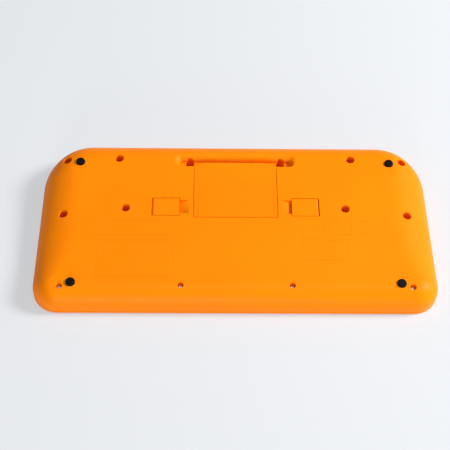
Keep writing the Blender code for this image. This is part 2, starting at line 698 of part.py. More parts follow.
def add_scoop(bm, side):
    """Ramp beside a tilt foot, deepest at the foot's inner end."""
    deep_x, high_x = POCKET_INNER_X + GAP, POCKET_INNER_X - SCOOP_LENGTH
    section = [(high_x, 0), (deep_x, -SCOOP_DEPTH), (deep_x, OVERRUN), (high_x, OVERRUN)]
    half = SCOOP_WIDTH / 2
    near, far = POCKET_CENTRE_V - half, POCKET_CENTRE_V + half
    order = (far, near) if side > 0 else (near, far)
    skin(bm, [[(side * x, v, w) for x, w in section] for v in order])


def make_back_shell():
    bm = bmesh.new()
    skin(bm, wedge_rings(0, BACK_RIM_HEIGHT))
    shell = finish("back_shell", bm, ORANGE)
    bm = bmesh.new()
    skin(bm, wedge_rings(WALL, 0))
    cut(shell, "shell_hollow", bm)
    bm = bmesh.new()
    skin(bm, wedge_rings(EMBED, 0))
    trim = finish("inside_of_wall", bm)
    add_inner_works(shell, trim)
    cut_openings(shell)


# ---------------------------------------------------------------- outside pieces of the underside

def foot_places():
    return [(side * FOOT_X, v) for side in (-1, 1) for v in (FOOT_FRONT_V, FOOT_REAR_V)]


def make_rubber_feet():
    radius = FOOT_DIAMETER / 2
    profile = (
        (0, FOOT_PROUD), (radius - 2 * FOOT_EDGE, FOOT_PROUD),
        (radius - FOOT_EDGE / 2, FOOT_PROUD - FOOT_EDGE / 2), (radius, FOOT_PROUD - 1.5 * FOOT_EDGE),
        (radius, GAP - FOOT_SEAT_DEPTH), (0, GAP - FOOT_SEAT_DEPTH),
    )
    mesh = turned_mesh("rubber_foot", profile)
    for x, v in foot_places():
        name = f"rubber_foot_{'front' if v < 0 else 'rear'}_{'left' if x < 0 else 'right'}"
        foot = add_turned(name, mesh, BLACK_RUBBER)
        foot.matrix_world = DECK @ Matrix.Translation((x, v, 0))


def make_battery_cover():
    """Plate with a pull lip, two tabs at its near edge and a tongue under the lip."""
    half, lip = COVER_HALF_WIDTH, COVER_LIP_HALF_WIDTH
    plan = ((-half, COVER_FRONT_V), (half, COVER_FRONT_V), (half, COVER_SHOULDER_V), (lip, COVER_LIP_V),
            (-lip, COVER_LIP_V), (-half, COVER_SHOULDER_V))
    pivot = Vector((0, cover_pivot_v(), 0))
    bm = bmesh.new()
    skin(bm, [[Vector((u, v, w)) - pivot for u, v in plan] for w in (COVER_UNDER_W, COVER_TOP_W)])
    cover = finish("battery_cover", bm, COVER_ORANGE)

    bm = bmesh.new()
    tab_top = -SHELL_OVER_TAB - GAP
    for side in (-1, 1):
        x = side * TAB_X
        low = Vector((x - TAB_WIDTH / 2, COVER_FRONT_V + GAP - TAB_REACH, tab_top - TAB_THICKNESS))
        high = Vector((x + TAB_WIDTH / 2, COVER_FRONT_V + TAB_THICKNESS, tab_top))
        add_box(bm, low - pivot, high - pivot)
    tongue = Vector((TONGUE_WIDTH / 2, tongue_front_v(), COVER_UNDER_W - TONGUE_LENGTH))
    top = Vector((TONGUE_WIDTH / 2, tongue_front_v() + TONGUE_THICKNESS, COVER_TOP_W - COVER_THICKNESS / 2))
    add_box(bm, Vector((-tongue.x, tongue.y, tongue.z)) - pivot, top - pivot)
    hooks = finish("cover_hooks", bm)
    cover.matrix_world = DECK @ Matrix.Translation(pivot)
    hooks.matrix_world = cover.matrix_world
    boolean(cover, hooks, "UNION")


def cover_pivot_v():
    """The cover swings about its near top edge, in the middle of the gap there."""
    return COVER_FRONT_V - SLIDE_GAP / 2


def make_tilt_feet():
    """Plate that swings up on a pin at its outer end, and the pin."""
    half = TILT_FOOT_THICKNESS / 2
    length = TILT_PIN_X - POCKET_INNER_X - SLIDE_GAP
    near, far = POCKET_NEAR_V + SLIDE_GAP, POCKET_FAR_V - SLIDE_GAP
    for side, label in ((-1, "left"), (1, "right")):
        section = [(-side * length, half), (-side * length, -half)]
        for step in range(SCREW_STEPS + 1):
            angle = (step / SCREW_STEPS - 0.5) * math.pi
            section.append((side * half * math.cos(angle), half * math.sin(angle)))
        order = (far, near) if side > 0 else (near, far)
        rings = [[(x, v - POCKET_CENTRE_V, w) for x, w in section] for v in order]
        bm = bmesh.new()
        skin(bm, rings)
        foot = finish(f"tilt_foot_{label}", bm, TILT_ORANGE)
        place = DECK @ Matrix.Translation((side * TILT_PIN_X, POCKET_CENTRE_V, TILT_PIN_W))
        foot.matrix_world = place

        reach = (POCKET_FAR_V - POCKET_NEAR_V) / 2
        bm = bmesh.new()
        add_rod(bm, TILT_PIN_DIAMETER / 2 + GAP, (0, -reach, 0), (0, reach, 0), SCREW_STEPS)
        bore = finish(f"tilt_foot_bore_{label}", bm)
        bore.matrix_world = place
        boolean(foot, bore, "DIFFERENCE")

        bm = bmesh.new()
        hold = reach + TILT_PIN_HOLD
        add_rod(bm, TILT_PIN_DIAMETER / 2, (0, -hold, 0), (0, hold, 0), SCREW_STEPS)
        pin = finish(f"tilt_foot_pin_{label}", bm, PIN_STEEL)
        pin.matrix_world = place


# ---------------------------------------------------------------- batteries

def cell_rows():
    """Each cell's place across the bay and the way its plus end points."""
    first = BAY_CENTRE_V - CELL_PITCH * (CELL_COUNT - 1) / 2
    return [(first + CELL_PITCH * row, 1 if row % 2 == 0 else -1) for row in range(CELL_COUNT)]


def make_cells():
    radius, nub = CELL_DIAMETER / 2, CELL_NUB_DIAMETER / 2
    profile = ((0, 0), (nub, 0), (nub, -CELL_NUB_LENGTH), (radius, -CELL_NUB_LENGTH), (radius, -CELL_LENGTH),
               (0, -CELL_LENGTH))
    mesh = turned_mesh("cell", profile)
    plus_x = BAY_HALF_LENGTH - 2 * GAP - CONTACT_THICKNESS
    for number, (v, way) in enumerate(cell_rows(), start=1):
        cell = add_turned(f"cell_{number}", mesh, CELL_JACKET)
        turn = Matrix.Rotation(way * math.pi / 2, 4, "Y")
        cell.matrix_world = DECK @ Matrix.Translation((way * plus_x, v, CELL_W)) @ turn


def spring_points():
    """Centre line of one contact spring along +X, wide at the contact plate."""
    count = SPRING_TURNS * SPRING_STEPS
    length = SPRING_LENGTH - SPRING_WIRE - 2 * GAP
    points = []
    for i in range(count + 1):
        t = i / count
        angle = t * SPRING_TURNS * 2 * math.pi
        radius = SPRING_WIDE_RADIUS + (SPRING_NARROW_RADIUS - SPRING_WIDE_RADIUS) * t
        points.append((t * length, radius * math.cos(angle), radius * math.sin(angle)))
    return points


def tube_mesh(name, points, diameter, resolution=1):
    """Closed round tube along a list of points."""
    curve = bpy.data.curves.new(name, "CURVE")
    curve.dimensions = "3D"
    curve.bevel_depth = diameter / 2
    curve.bevel_resolution = resolution
    curve.use_fill_caps = True
    spline = curve.splines.new("POLY")
    spline.points.add(len(points) - 1)
    for target, point in zip(spline.points, points):
        target.co = (*point, 1.0)
    tube = bpy.data.objects.new(name, curve)
    CUTTERS.objects.link(tube)
    mesh = evaluated_mesh(tube)
    bpy.data.objects.remove(tube)
    bm = bmesh.new()
    bm.from_mesh(mesh)
    bmesh.ops.remove_doubles(bm, verts=bm.verts, dist=0.00001)
    bm.to_mesh(mesh)
    bm.free()
    return mesh


def make_battery_contacts():
    """Spring at each minus end, and plates that link the cells in a row."""
    plate_x = BAY_HALF_LENGTH - GAP - CONTACT_THICKNESS
    coil = tube_mesh("battery_spring", spring_points(), SPRING_WIRE)
    start = plate_x - GAP - SPRING_WIRE / 2
    for number, (v, way) in enumerate(cell_rows(), start=1):
        turn = Matrix.Identity(4) if way > 0 else Matrix.Rotation(math.pi, 4, "Z")
        spring = add_turned(f"battery_spring_{number}", coil, SPRING_STEEL)
        spring.matrix_world = DECK @ Matrix.Translation((-way * start, v, CELL_W)) @ turn

    rows = [v for v, way in cell_rows()]
    half = CONTACT_SIZE / 2
    for label, side, first, last in (("left_link", -1, 0, 1), ("left_end", -1, 2, 2),
                                     ("right_end", 1, 0, 0), ("right_link", 1, 1, 2)):
        ends = sorted((side * plate_x, side * (plate_x + CONTACT_THICKNESS)))
        bm = bmesh.new()
        add_box(bm, (ends[0], rows[first] - half, CELL_W - half), (ends[1], rows[last] + half, CELL_W + half))
        finish(f"battery_contact_{label}", bm, NICKEL, DECK)


# ---------------------------------------------------------------- face shell

def key_places():
    """Number, centre and colour of each picture key."""
    places = []
    for row, y in enumerate(KEY_ROWS_Y):
        for column in range(KEY_COLUMNS):
            x = (column - (KEY_COLUMNS - 1) / 2) * KEY_PITCH
            colour = KEY_COLOURS[(column + 2 * row) % len(KEY_COLOURS)]
            places.append((row * KEY_COLUMNS + column + 1, x, y, colour))
    return places


def round_key_places():
    return [(side * ROUND_KEY_X, ROUND_KEY_Y) for side in (-1, 1)]


def standoff_places():
    inset = STANDOFF_INSET
    return [(side * (BOARD_HALF_WIDTH - inset), y) for side in (-1, 1)
            for y in (BOARD_FRONT_Y + inset, BOARD_REAR_Y - inset)]


def switch_standoff_places():
    return [(SWITCH_X, SWITCH_Y + side * SWITCH_STANDOFF_Y) for side in (-1, 1)]


def switch_board_under():
    return FLANGE_HEIGHT + SWITCH_FLANGE_THICKNESS + 2 * GAP + SWITCH_BODY_HEIGHT + GAP


def add_posts(shell):
    """Posts that the screws run into, seats for both boards and the ring round the speaker."""
    root = PANEL_TOP - PANEL_THICKNESS / 2
    bm = bmesh.new()
    for x, y, bore, seat in wells():
        radius = SHANK_DIAMETER / 2 + GAP + POST_WALL
        add_rod(bm, radius, (x, y, root), (x, y, seat - WELL_FLOOR - GAP), SCREW_STEPS)
    for x, y in standoff_places():
        add_rod(bm, STANDOFF_DIAMETER / 2, (x, y, root), (x, y, BOARD_UNDER_HEIGHT - GAP), SCREW_STEPS)
    for x, y in switch_standoff_places():
        add_rod(bm, STANDOFF_DIAMETER / 2, (x, y, root), (x, y, switch_board_under() - GAP), SCREW_STEPS)
    posts = finish("posts", bm)
    boolean(shell, posts, "UNION")

    inner = SPEAKER_DIAMETER / 2 + SLIDE_GAP
    outer = inner + SPEAKER_RING_WALL
    top = PANEL_TOP + SPEAKER_RING_HEIGHT
    profile = ((inner, top), (outer, top), (outer, root), (inner, root), (inner, top))
    ring = add_object("speaker_ring", turned_mesh("speaker_ring", profile, 2 * ROUND_PIECE_STEPS))
    ring.location = (SPEAKER_X, SPEAKER_Y, 0)
    boolean(shell, ring, "UNION")


def cut_face(shell):
    """Pilot holes, key openings, window, grille slots and the slot of the switch."""
    bm = bmesh.new()
    for x, y, bore, seat in wells():
        add_rod(bm, SHANK_DIAMETER / 2 + GAP, (x, y, seat - SHANK_LENGTH - GAP), (x, y, seat), SCREW_STEPS)
    for x, y, top in pilot_places():
        add_rod(bm, BOARD_SCREW_SHANK / 2 + GAP, (x, y, top - BOARD_SCREW_LENGTH), (x, y, top + OVERRUN),
                SCREW_STEPS)
    cut(shell, "pilot_holes", bm)

    low, high = PANEL_RECESS - OVERRUN, PANEL_TOP + OVERRUN
    bm = bmesh.new()
    for number, x, y, colour in key_places():
        size = (KEY_WIDTH + 2 * SLIDE_GAP, KEY_DEPTH + 2 * SLIDE_GAP, KEY_CORNER + SLIDE_GAP)
        skin(bm, [rounded_rectangle(*size, z, (x, y)) for z in (low, high)])
    for x, y in round_key_places():
        add_rod(bm, ROUND_KEY_DIAMETER / 2 + SLIDE_GAP, (x, y, low), (x, y, high))
    cut(shell, "key_openings", bm)

    bm = bmesh.new()
    opening = (WINDOW_WIDTH - 2 * WINDOW_LEDGE, WINDOW_DEPTH - 2 * WINDOW_LEDGE)
    skin(bm, [rounded_rectangle(*opening, KEY_CORNER, z, (0, DISPLAY_Y)) for z in (low, high)])
    length = SWITCH_CAP_LENGTH + SWITCH_TRAVEL + 2 * SLIDE_GAP
    width = SWITCH_CAP_WIDTH + 2 * SLIDE_GAP
    add_box(bm, (SWITCH_X - length / 2, SWITCH_Y - width / 2, low),
            (SWITCH_X + length / 2, SWITCH_Y + width / 2, high))
    for slot in range(GRILLE_SLOTS):
        offset = (slot - (GRILLE_SLOTS - 1) / 2) * GRILLE_PITCH
        reach = math.sqrt((SPEAKER_DIAMETER / 2 - GRILLE_PITCH) ** 2 - offset ** 2)
        add_box(bm, (SPEAKER_X - reach, SPEAKER_Y + offset - GRILLE_SLOT / 2, low),
                (SPEAKER_X + reach, SPEAKER_Y + offset + GRILLE_SLOT / 2, high))
    cut(shell, "face_openings", bm)

    bm = bmesh.new()
    size = (WINDOW_WIDTH + 2 * GAP, WINDOW_DEPTH + 2 * GAP, KEY_CORNER + GAP)
    seat = PANEL_RECESS + WINDOW_THICKNESS + 2 * GAP
    skin(bm, [rounded_rectangle(*size, z, (0, DISPLAY_Y)) for z in (low, seat)])
    cut(shell, "window_seat", bm)


def make_front_shell():
    edge = FACE_EDGE_RADIUS
    rings = [flat_ring(edge * (1 - math.sin(a)), edge * (1 - math.cos(a))) for a in (0, 45 * DEG, 90 * DEG)]
    rings.append(flat_ring(0, SEAM_HEIGHT))
    rings.append(flat_ring(LIP_INSET, SEAM_HEIGHT))
    rings.append(flat_ring(LIP_INSET, LIP_TOP))
    bm = bmesh.new()
    skin(bm, rings)
    shell = finish("front_shell", bm, FACE_ORANGE)
    bm = bmesh.new()
    inner = LIP_INSET + LIP_WALL
    skin(bm, [flat_ring(inner, PANEL_TOP), flat_ring(inner, LIP_TOP + OVERRUN)])
    cut(shell, "face_hollow", bm)
    bm = bmesh.new()
    skin(bm, [flat_ring(RIM_WIDTH, -OVERRUN), flat_ring(RIM_WIDTH, PANEL_RECESS)])
    cut(shell, "face_recess", bm)
    add_posts(shell)
    cut_face(shell)


# ---------------------------------------------------------------- pieces behind the face

def make_keys():
    """Picture keys: cap, flange behind the panel and a low plunger."""
    flange_top = FLANGE_HEIGHT + KEY_FLANGE_THICKNESS
    wide, deep, corner = KEY_WIDTH, KEY_DEPTH, KEY_CORNER
    grow = 2 * KEY_FLANGE
    plunger = KEY_CORNER * 2
    rings = [
        rounded_rectangle(wide - 2 * KEY_EDGE, deep - 2 * KEY_EDGE, corner - KEY_EDGE, KEY_SUNK),
        rounded_rectangle(wide, deep, corner, KEY_SUNK + KEY_EDGE),
        rounded_rectangle(wide, deep, corner, FLANGE_HEIGHT),
        rounded_rectangle(wide + grow, deep + grow, corner, FLANGE_HEIGHT),
        rounded_rectangle(wide + grow, deep + grow, corner, flange_top),
        rounded_rectangle(plunger, plunger, plunger / 2, flange_top),
        rounded_rectangle(plunger, plunger, plunger / 2, flange_top + KEY_PLUNGER_HEIGHT),
    ]
    for number, x, y, colour in key_places():
        bm = bmesh.new()
        skin(bm, rings)
        key = finish(f"picture_key_{number:02d}", bm, colour)
        key.location = (x, y, 0)

    radius = ROUND_KEY_DIAMETER / 2
    profile = (
        (0, flange_top + KEY_PLUNGER_HEIGHT), (plunger / 2, flange_top + KEY_PLUNGER_HEIGHT),
        (plunger / 2, flange_top), (radius + KEY_FLANGE, flange_top), (radius + KEY_FLANGE, FLANGE_HEIGHT),
        (radius, FLANGE_HEIGHT), (radius, KEY_SUNK + KEY_EDGE), (radius - KEY_EDGE, KEY_SUNK), (0, KEY_SUNK),
    )
    mesh = turned_mesh("round_key", profile)
    for (x, y), label, colour in zip(round_key_places(), ("left", "right"), (KEY_COLOURS[2], KEY_COLOURS[0])):
        add_turned(f"round_key_{label}", mesh, colour).location = (x, y, 0)


def make_key_mat():
    """One rubber sheet behind all keys, with an arm on each side of the display for the round keys."""
    margin = KEY_FLANGE + KEY_CORNER
    half = ROUND_KEY_X + ROUND_KEY_DIAMETER / 2
    near = min(KEY_ROWS_Y) - KEY_DEPTH / 2 - margin
    far = max(KEY_ROWS_Y) + KEY_DEPTH / 2 + margin
    heights = (MAT_TOP - MAT_THICKNESS, MAT_TOP)
    bm = bmesh.new()
    skin(bm, [rounded_rectangle(2 * half, far - near, KEY_CORNER, z, (0, (near + far) / 2)) for z in heights])
    mat = finish("key_mat", bm, MAT_RUBBER)
    bm = bmesh.new()
    arm_far = ROUND_KEY_Y + ROUND_KEY_DIAMETER / 2
    for x, y in round_key_places():
        centre = (x, (arm_far + near) / 2)
        skin(bm, [rounded_rectangle(ROUND_KEY_DIAMETER, arm_far - near - KEY_CORNER, KEY_CORNER, z, centre)
                  for z in heights])
    boolean(mat, finish("mat_arms", bm), "UNION")


def pilot_places():
    """Every small board screw: x, y and height of the standoff's top."""
    places = [(x, y, BOARD_UNDER_HEIGHT - GAP) for x, y in standoff_places()]
    places += [(x, y, switch_board_under() - GAP) for x, y in switch_standoff_places()]
    return places


def make_board(name, material, centre, width, depth, under, thickness, holes):
    """Flat board with clearance holes for its screws."""
    bm = bmesh.new()
    skin(bm, [rounded_rectangle(width, depth, WALL, z, centre) for z in (under, under + thickness)])
    board = finish(name, bm, material)
    bm = bmesh.new()
    for x, y in holes:
        low, high = under - OVERRUN, under + thickness + OVERRUN
        add_rod(bm, BOARD_SCREW_SHANK / 2 + GAP, (x, y, low), (x, y, high), SCREW_STEPS)
    cut(board, f"{name}_holes", bm)


def make_boards():
    middle = (BOARD_FRONT_Y + BOARD_REAR_Y) / 2
    make_board("main_board", BOARD_GREEN, (0, middle), 2 * BOARD_HALF_WIDTH, BOARD_REAR_Y - BOARD_FRONT_Y,
               BOARD_UNDER_HEIGHT, BOARD_THICKNESS, standoff_places())
    make_board("switch_board", BOARD_GREEN, (SWITCH_X, SWITCH_Y), SWITCH_BOARD_LENGTH, SWITCH_BOARD_WIDTH,
               switch_board_under(), SWITCH_BOARD_THICKNESS, switch_standoff_places())
    bm = bmesh.new()
    half = Vector((CHIP_SIZE / 2, CHIP_SIZE / 2, 0))
    centre = Vector((CHIP_X, CHIP_Y, BOARD_TOP + GAP))
    add_box(bm, centre - half, centre + half + Vector((0, 0, CHIP_THICKNESS)))
    finish("controller_chip", bm, CHIP_BLACK)


def make_display():
    centre = (0, DISPLAY_Y)
    bm = bmesh.new()
    size = (DISPLAY_WIDTH, DISPLAY_DEPTH, GAP * 2)
    skin(bm, [rounded_rectangle(*size, z, centre) for z in (PANEL_TOP + GAP, DISPLAY_TOP)])
    finish("display_module", bm, DISPLAY_GREY)
    bm = bmesh.new()
    size = (WINDOW_WIDTH, WINDOW_DEPTH, KEY_CORNER)
    low = PANEL_RECESS + GAP
    skin(bm, [rounded_rectangle(*size, z, centre) for z in (low, low + WINDOW_THICKNESS)])
    finish("display_window", bm, CLEAR_WINDOW)


def make_speaker():
    """Pressed basket, paper cone and magnet, facing the grille."""
    low = PANEL_TOP + GAP
    rim, base = SPEAKER_DIAMETER / 2, SPEAKER_BASE_DIAMETER / 2
    sheet, top = SPEAKER_SHEET, low + SPEAKER_HEIGHT
    basket = (
        (0, top), (base, top), (rim, low + sheet), (rim, low), (rim - SPEAKER_RIM, low),
        (rim - SPEAKER_RIM, low + 2 * GAP), (base - sheet, top - sheet), (0, top - sheet),
    )
    steps = SPEAKER_STEPS
    piece = add_object("speaker_basket", turned_mesh("speaker_basket", basket, steps), BASKET_STEEL)
    piece.location = (SPEAKER_X, SPEAKER_Y, 0)

    edge = rim - SPEAKER_RIM - GAP * 2
    dust = base * DUST_CAP_SHARE
    peak = low + SPEAKER_HEIGHT * CONE_RISE
    cone = ((0, peak), (dust, peak), (edge, low + GAP * 2), (edge, low + GAP), (dust, peak - 2 * GAP),
            (0, peak - 2 * GAP))
    piece = add_object("speaker_cone", turned_mesh("speaker_cone", cone, steps), CONE_PAPER)
    piece.location = (SPEAKER_X, SPEAKER_Y, 0)

    bm = bmesh.new()
    add_rod(bm, MAGNET_DIAMETER / 2, (0, 0, top + GAP), (0, 0, top + GAP + MAGNET_HEIGHT), steps)
    magnet = finish("speaker_magnet", bm, MAGNET_FERRITE)
    magnet.location = (SPEAKER_X, SPEAKER_Y, 0)


def make_switch():
    """Sliding knob in its slot, in the off position, and the switch behind it."""
    under = FLANGE_HEIGHT
    off_x = SWITCH_X - SWITCH_TRAVEL / 2
    length, width = SWITCH_CAP_LENGTH, SWITCH_CAP_WIDTH
    flange = (length + 2 * SWITCH_FLANGE, width + SWITCH_FLANGE, 2 * KEY_EDGE)
    rings = [
        rounded_rectangle(length - 2 * KEY_EDGE, width - 2 * KEY_EDGE, KEY_EDGE, KEY_SUNK),
        rounded_rectangle(length, width, 2 * KEY_EDGE, KEY_SUNK + KEY_EDGE),
        rounded_rectangle(length, width, 2 * KEY_EDGE, under),
        rounded_rectangle(*flange, under),
        rounded_rectangle(*flange, under + SWITCH_FLANGE_THICKNESS),
    ]
    bm = bmesh.new()
    skin(bm, rings)
    knob = finish("switch_knob", bm, KNOB_WHITE)
    knob.location = (off_x, SWITCH_Y, 0)
    bm = bmesh.new()
    low = under + SWITCH_FLANGE_THICKNESS + 2 * GAP
    half = Vector((SWITCH_BODY_LENGTH / 2, SWITCH_BODY_WIDTH / 2, 0))
    centre = Vector((SWITCH_X, SWITCH_Y, low))
    add_box(bm, centre - half, centre + half + Vector((0, 0, SWITCH_BODY_HEIGHT)))
    finish("switch_body", bm, SWITCH_BLACK)


def smooth_route(points, count):
    """Points along a smooth curve through a few chosen ones."""
    ends = [points[0] * 2 - points[1], *points, points[-1] * 2 - points[-2]]
    route = []
    for i in range(count + 1):
        place = i / count * (len(points) - 1)
        k = min(int(place), len(points) - 2)
        t = place - k
        a, b, c, d = ends[k:k + 4]
        route.append(0.5 * (2 * b + (c - a) * t + (2 * a - 5 * b + 4 * c - d) * t ** 2
                            + (3 * b - a - 3 * c + d) * t ** 3))
    return route


def make_wires():
    """Wires inside the case, each ending just clear of what it is soldered to."""
    floor = BOARD_TOP + GAP + WIRE_DIAMETER
    box_x = BAY_HALF_LENGTH + BAY_WALL + GAP
    for name, material, side, v in (("power_wire_red", RED_WIRE, 1, RED_WIRE_V),
                                    ("power_wire_black", BLACK_WIRE, -1, BLACK_WIRE_V)):
        start = DECK @ Vector((side * box_x, v, CELL_W))
        end = Vector((side * (box_x + WIRE_REACH), start.y - WIRE_SWEEP, BOARD_TOP + GAP))
        lead = start + Vector((side * WIRE_LEAD, 0, 0))
        route = [start, lead, Vector((end.x, end.y, floor + WIRE_DROP)), end]
        bm = bmesh.new()
        bm.from_mesh(tube_mesh(name, smooth_route(route, WIRE_STEPS), WIRE_DIAMETER))
        finish(name, bm, material)


make_back_shell()
make_rubber_feet()
make_battery_cover()
make_tilt_feet()
make_case_screws()
make_cells()
make_battery_contacts()
make_front_shell()
make_keys()
make_key_mat()
make_boards()
make_display()
make_speaker()
make_switch()
make_wires()
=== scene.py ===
"""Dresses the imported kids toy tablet: finer mouldings, screws, pads and keys, then studio, lamps and camera.

World axes are the frame's: X along the width, Y from the near edge to the grip edge, Z up.
Deck coordinates (u, v, w) are those of the sloping underside: u along X, v up the slope, w square to it.
"""

import math

import bmesh
import bpy
from mathutils import Matrix, Vector
from mathutils.bvhtree import BVHTree


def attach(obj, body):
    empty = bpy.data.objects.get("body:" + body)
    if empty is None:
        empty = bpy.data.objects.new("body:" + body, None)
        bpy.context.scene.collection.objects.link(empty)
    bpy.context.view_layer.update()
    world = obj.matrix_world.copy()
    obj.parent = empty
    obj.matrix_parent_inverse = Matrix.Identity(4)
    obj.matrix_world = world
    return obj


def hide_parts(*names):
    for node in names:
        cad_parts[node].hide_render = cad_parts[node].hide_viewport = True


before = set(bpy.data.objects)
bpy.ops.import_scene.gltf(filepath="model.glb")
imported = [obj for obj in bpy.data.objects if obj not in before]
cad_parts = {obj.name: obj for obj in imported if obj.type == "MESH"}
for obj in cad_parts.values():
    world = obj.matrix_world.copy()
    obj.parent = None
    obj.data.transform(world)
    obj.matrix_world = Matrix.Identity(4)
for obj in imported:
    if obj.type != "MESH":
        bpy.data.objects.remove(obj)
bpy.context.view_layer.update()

MM = 0.001
DEG = math.pi / 180

# ---------------------------------------------------------------- sizes, as in the part

GAP = 0.3 * MM
SLIDE_GAP = 0.4 * MM
OVERRUN = 1.0 * MM

HALF_WIDTH = 180.8 * MM
HALF_DEPTH = 87.6 * MM
FRONT_CORNER = 23.0 * MM
REAR_CORNER = 46.0 * MM
DECK_HEIGHT = 30.5 * MM
DECK_TILT = 4.0 * DEG
UPRIGHT = 8.4 * MM
FRONT_ROUND = 16.0 * MM
SIDE_ROUND = 38.0 * MM
REAR_ROUND = 24.0 * MM
FRONT_BLEND_END = -26.5 * MM
REAR_BLEND_START = 33.5 * MM

WALL = 2.5 * MM
SEAM = 3.4 * MM
RIM_WIDTH = 10.0 * MM
PANEL_RECESS = 2.0 * MM
PANEL_TOP = 4.5 * MM
LIP_INSET = 2.9 * MM
LIP_WALL = 1.2 * MM
LIP_TOP = 6.9 * MM

WELL_WALL = 1.6 * MM
WELL_FLOOR = 2.2 * MM
DEEP_BORE = 8.0 * MM
DEEP_SEAT = 14.5 * MM
SHALLOW_BORE = 5.4 * MM
SHALLOW_DEPTH = 5.0 * MM
DEEP_PLACES = ((109.2, 62.0), (158.1, 61.0), (157.4, 0.8), (100.8, 6.7), (42.7, 60.4))
SHALLOW_PLACES = ((155.2, -74.2), (49.2, -73.1))
HEAD_CLEARANCE = 0.8 * MM
HEAD_HEIGHT = 1.9 * MM
SHANK = 2.6 * MM
SHANK_LENGTH = 9.0 * MM

FOOT_X = 145.4 * MM
FOOT_VS = (-71.1 * MM, 57.7 * MM)
FOOT_DIAMETER = 7.8 * MM
FOOT_SEAT = 1.2 * MM
FOOT_PROUD = 2.0 * MM

COVER_HALF = 38.4 * MM
COVER_FRONT = -3.0 * MM
COVER_SHOULDER = 53.5 * MM
COVER_LIP = 57.9 * MM
COVER_LIP_HALF = 26.8 * MM
COVER_TOP = -0.1 * MM
COVER_LINE_INSET = 3.4 * MM       # from its side edge to the moulded line beside it
COVER_LINE_WIDTH = 0.9 * MM
COVER_LINE_DEPTH = 0.35 * MM
COVER_UNDER = -2.1 * MM
SEAT_W = COVER_UNDER - GAP
SEAT_FRONT = COVER_FRONT - SLIDE_GAP
SEAT_HALF = COVER_HALF + SLIDE_GAP
TAB_X = 24.0 * MM
TAB_WIDTH = 8.0 * MM
TAB_REACH = 2.9 * MM
TAB_THICKNESS = 1.5 * MM
SHELL_OVER_TAB = 1.2 * MM
TONGUE_WIDTH = 14.0 * MM
TONGUE_THICKNESS = 1.2 * MM
TONGUE_LENGTH = 3.6 * MM
TONGUE_FRONT = COVER_SHOULDER + SLIDE_GAP + GAP
TONGUE_FLOOR = COVER_UNDER - TONGUE_LENGTH - 2 * GAP
NOTCH_FAR = TONGUE_FRONT + TONGUE_THICKNESS + 3 * SLIDE_GAP

CELL_DIAMETER = 14.2 * MM
CELL_LENGTH = 50.5 * MM
CELL_PITCH = 14.9 * MM
BAY_CENTRE = 25.25 * MM
BAY_WALL = 1.6 * MM
BAY_HALF_LENGTH = 29.5 * MM
BAY_HALF_DEPTH = 22.6 * MM
BAY_FLOOR = SEAT_W - CELL_DIAMETER - 3 * GAP
CELL_W = BAY_FLOOR + GAP + CELL_DIAMETER / 2
CONTACT = 0.5 * MM

TROUGH_NEAR = 53.5 * MM
TROUGH_FOOT = 62.0 * MM           # foot of its rear wall, which rounds over into the deck
TROUGH_FAR = 68.6 * MM
TROUGH_DEPTH = 6.2 * MM
TROUGH_HALF = 56.4 * MM
TROUGH_END_SHARE = 0.7
TROUGH_CORNER_SHARE = 0.35
TROUGH_TURN = 50.0 * DEG          # through which its rear wall rounds over
LIP_CLEAR = COVER_LIP + OVERRUN

POCKET_INNER = 51.2 * MM
POCKET_OUTER = 76.9 * MM
POCKET_NEAR = -1.7 * MM
POCKET_FAR = 17.9 * MM
POCKET_V = (POCKET_NEAR + POCKET_FAR) / 2
TILT_THICKNESS = 3.8 * MM
TILT_SUNK = 0.2 * MM
PIN_DIAMETER = 1.8 * MM
PIN_HOLD = 2.4 * MM
PIN_W = -TILT_SUNK - TILT_THICKNESS / 2
PIN_X = POCKET_OUTER - SLIDE_GAP - TILT_THICKNESS / 2
POCKET_FLOOR = -TILT_SUNK - TILT_THICKNESS - 2 * GAP
SCOOP_LENGTH = 8.7 * MM
SCOOP_WIDTH = 14.6 * MM
SCOOP_DEPTH = 3.4 * MM

FACE_EDGE = 1.5 * MM
BOARD_HALF = 90.0 * MM
BOARD_FRONT, BOARD_REAR = -64.5 * MM, 50.5 * MM
BOARD_UNDER = 8.9 * MM
STANDOFF_INSET = 4.5 * MM
STANDOFF = 6.4 * MM
BOARD_SHANK = 2.2 * MM
BOARD_SCREW_LENGTH = 4.2 * MM
POST_WALL = 1.9 * MM

KEY_ROWS = (-21.5 * MM, -47.5 * MM)
KEY_PITCH = 32.0 * MM
KEY_WIDTH, KEY_DEPTH, KEY_CORNER = 24.0 * MM, 17.0 * MM, 3.5 * MM
KEY_FLANGE = 1.5 * MM
KEY_SUNK = 0.7 * MM
KEY_SOFT = 0.9 * MM               # rounded edge of its cap
KEY_DOME = 0.2 * MM
KEY_SHAPE_TOP = 0.1 * MM          # face of the raised shape on its cap
PLUNGER = 7.0 * MM
FLANGE_UNDER = PANEL_TOP + GAP
FLANGE_TOP = FLANGE_UNDER + 1.0 * MM
PLUNGER_TOP = FLANGE_TOP + 0.5 * MM
ROUND_KEY_X, ROUND_KEY_Y, ROUND_KEY = 70.0 * MM, 26.5 * MM, 16.0 * MM

WINDOW_Y, WINDOW_WIDTH, WINDOW_DEPTH = 26.5 * MM, 100.0 * MM, 44.0 * MM
WINDOW_LEDGE = 4.0 * MM
WINDOW_THICKNESS = 0.9 * MM

SPEAKER_X, SPEAKER_Y, SPEAKER = -128.0 * MM, 29.5 * MM, 44.0 * MM
SPEAKER_HEIGHT = 7.4 * MM
SPEAKER_BASE = 25.0 * MM
MAGNET, MAGNET_HEIGHT = 22.0 * MM, 5.5 * MM
GRILLE_SLOTS, GRILLE_PITCH, GRILLE_SLOT = 7, 4.6 * MM, 2.0 * MM

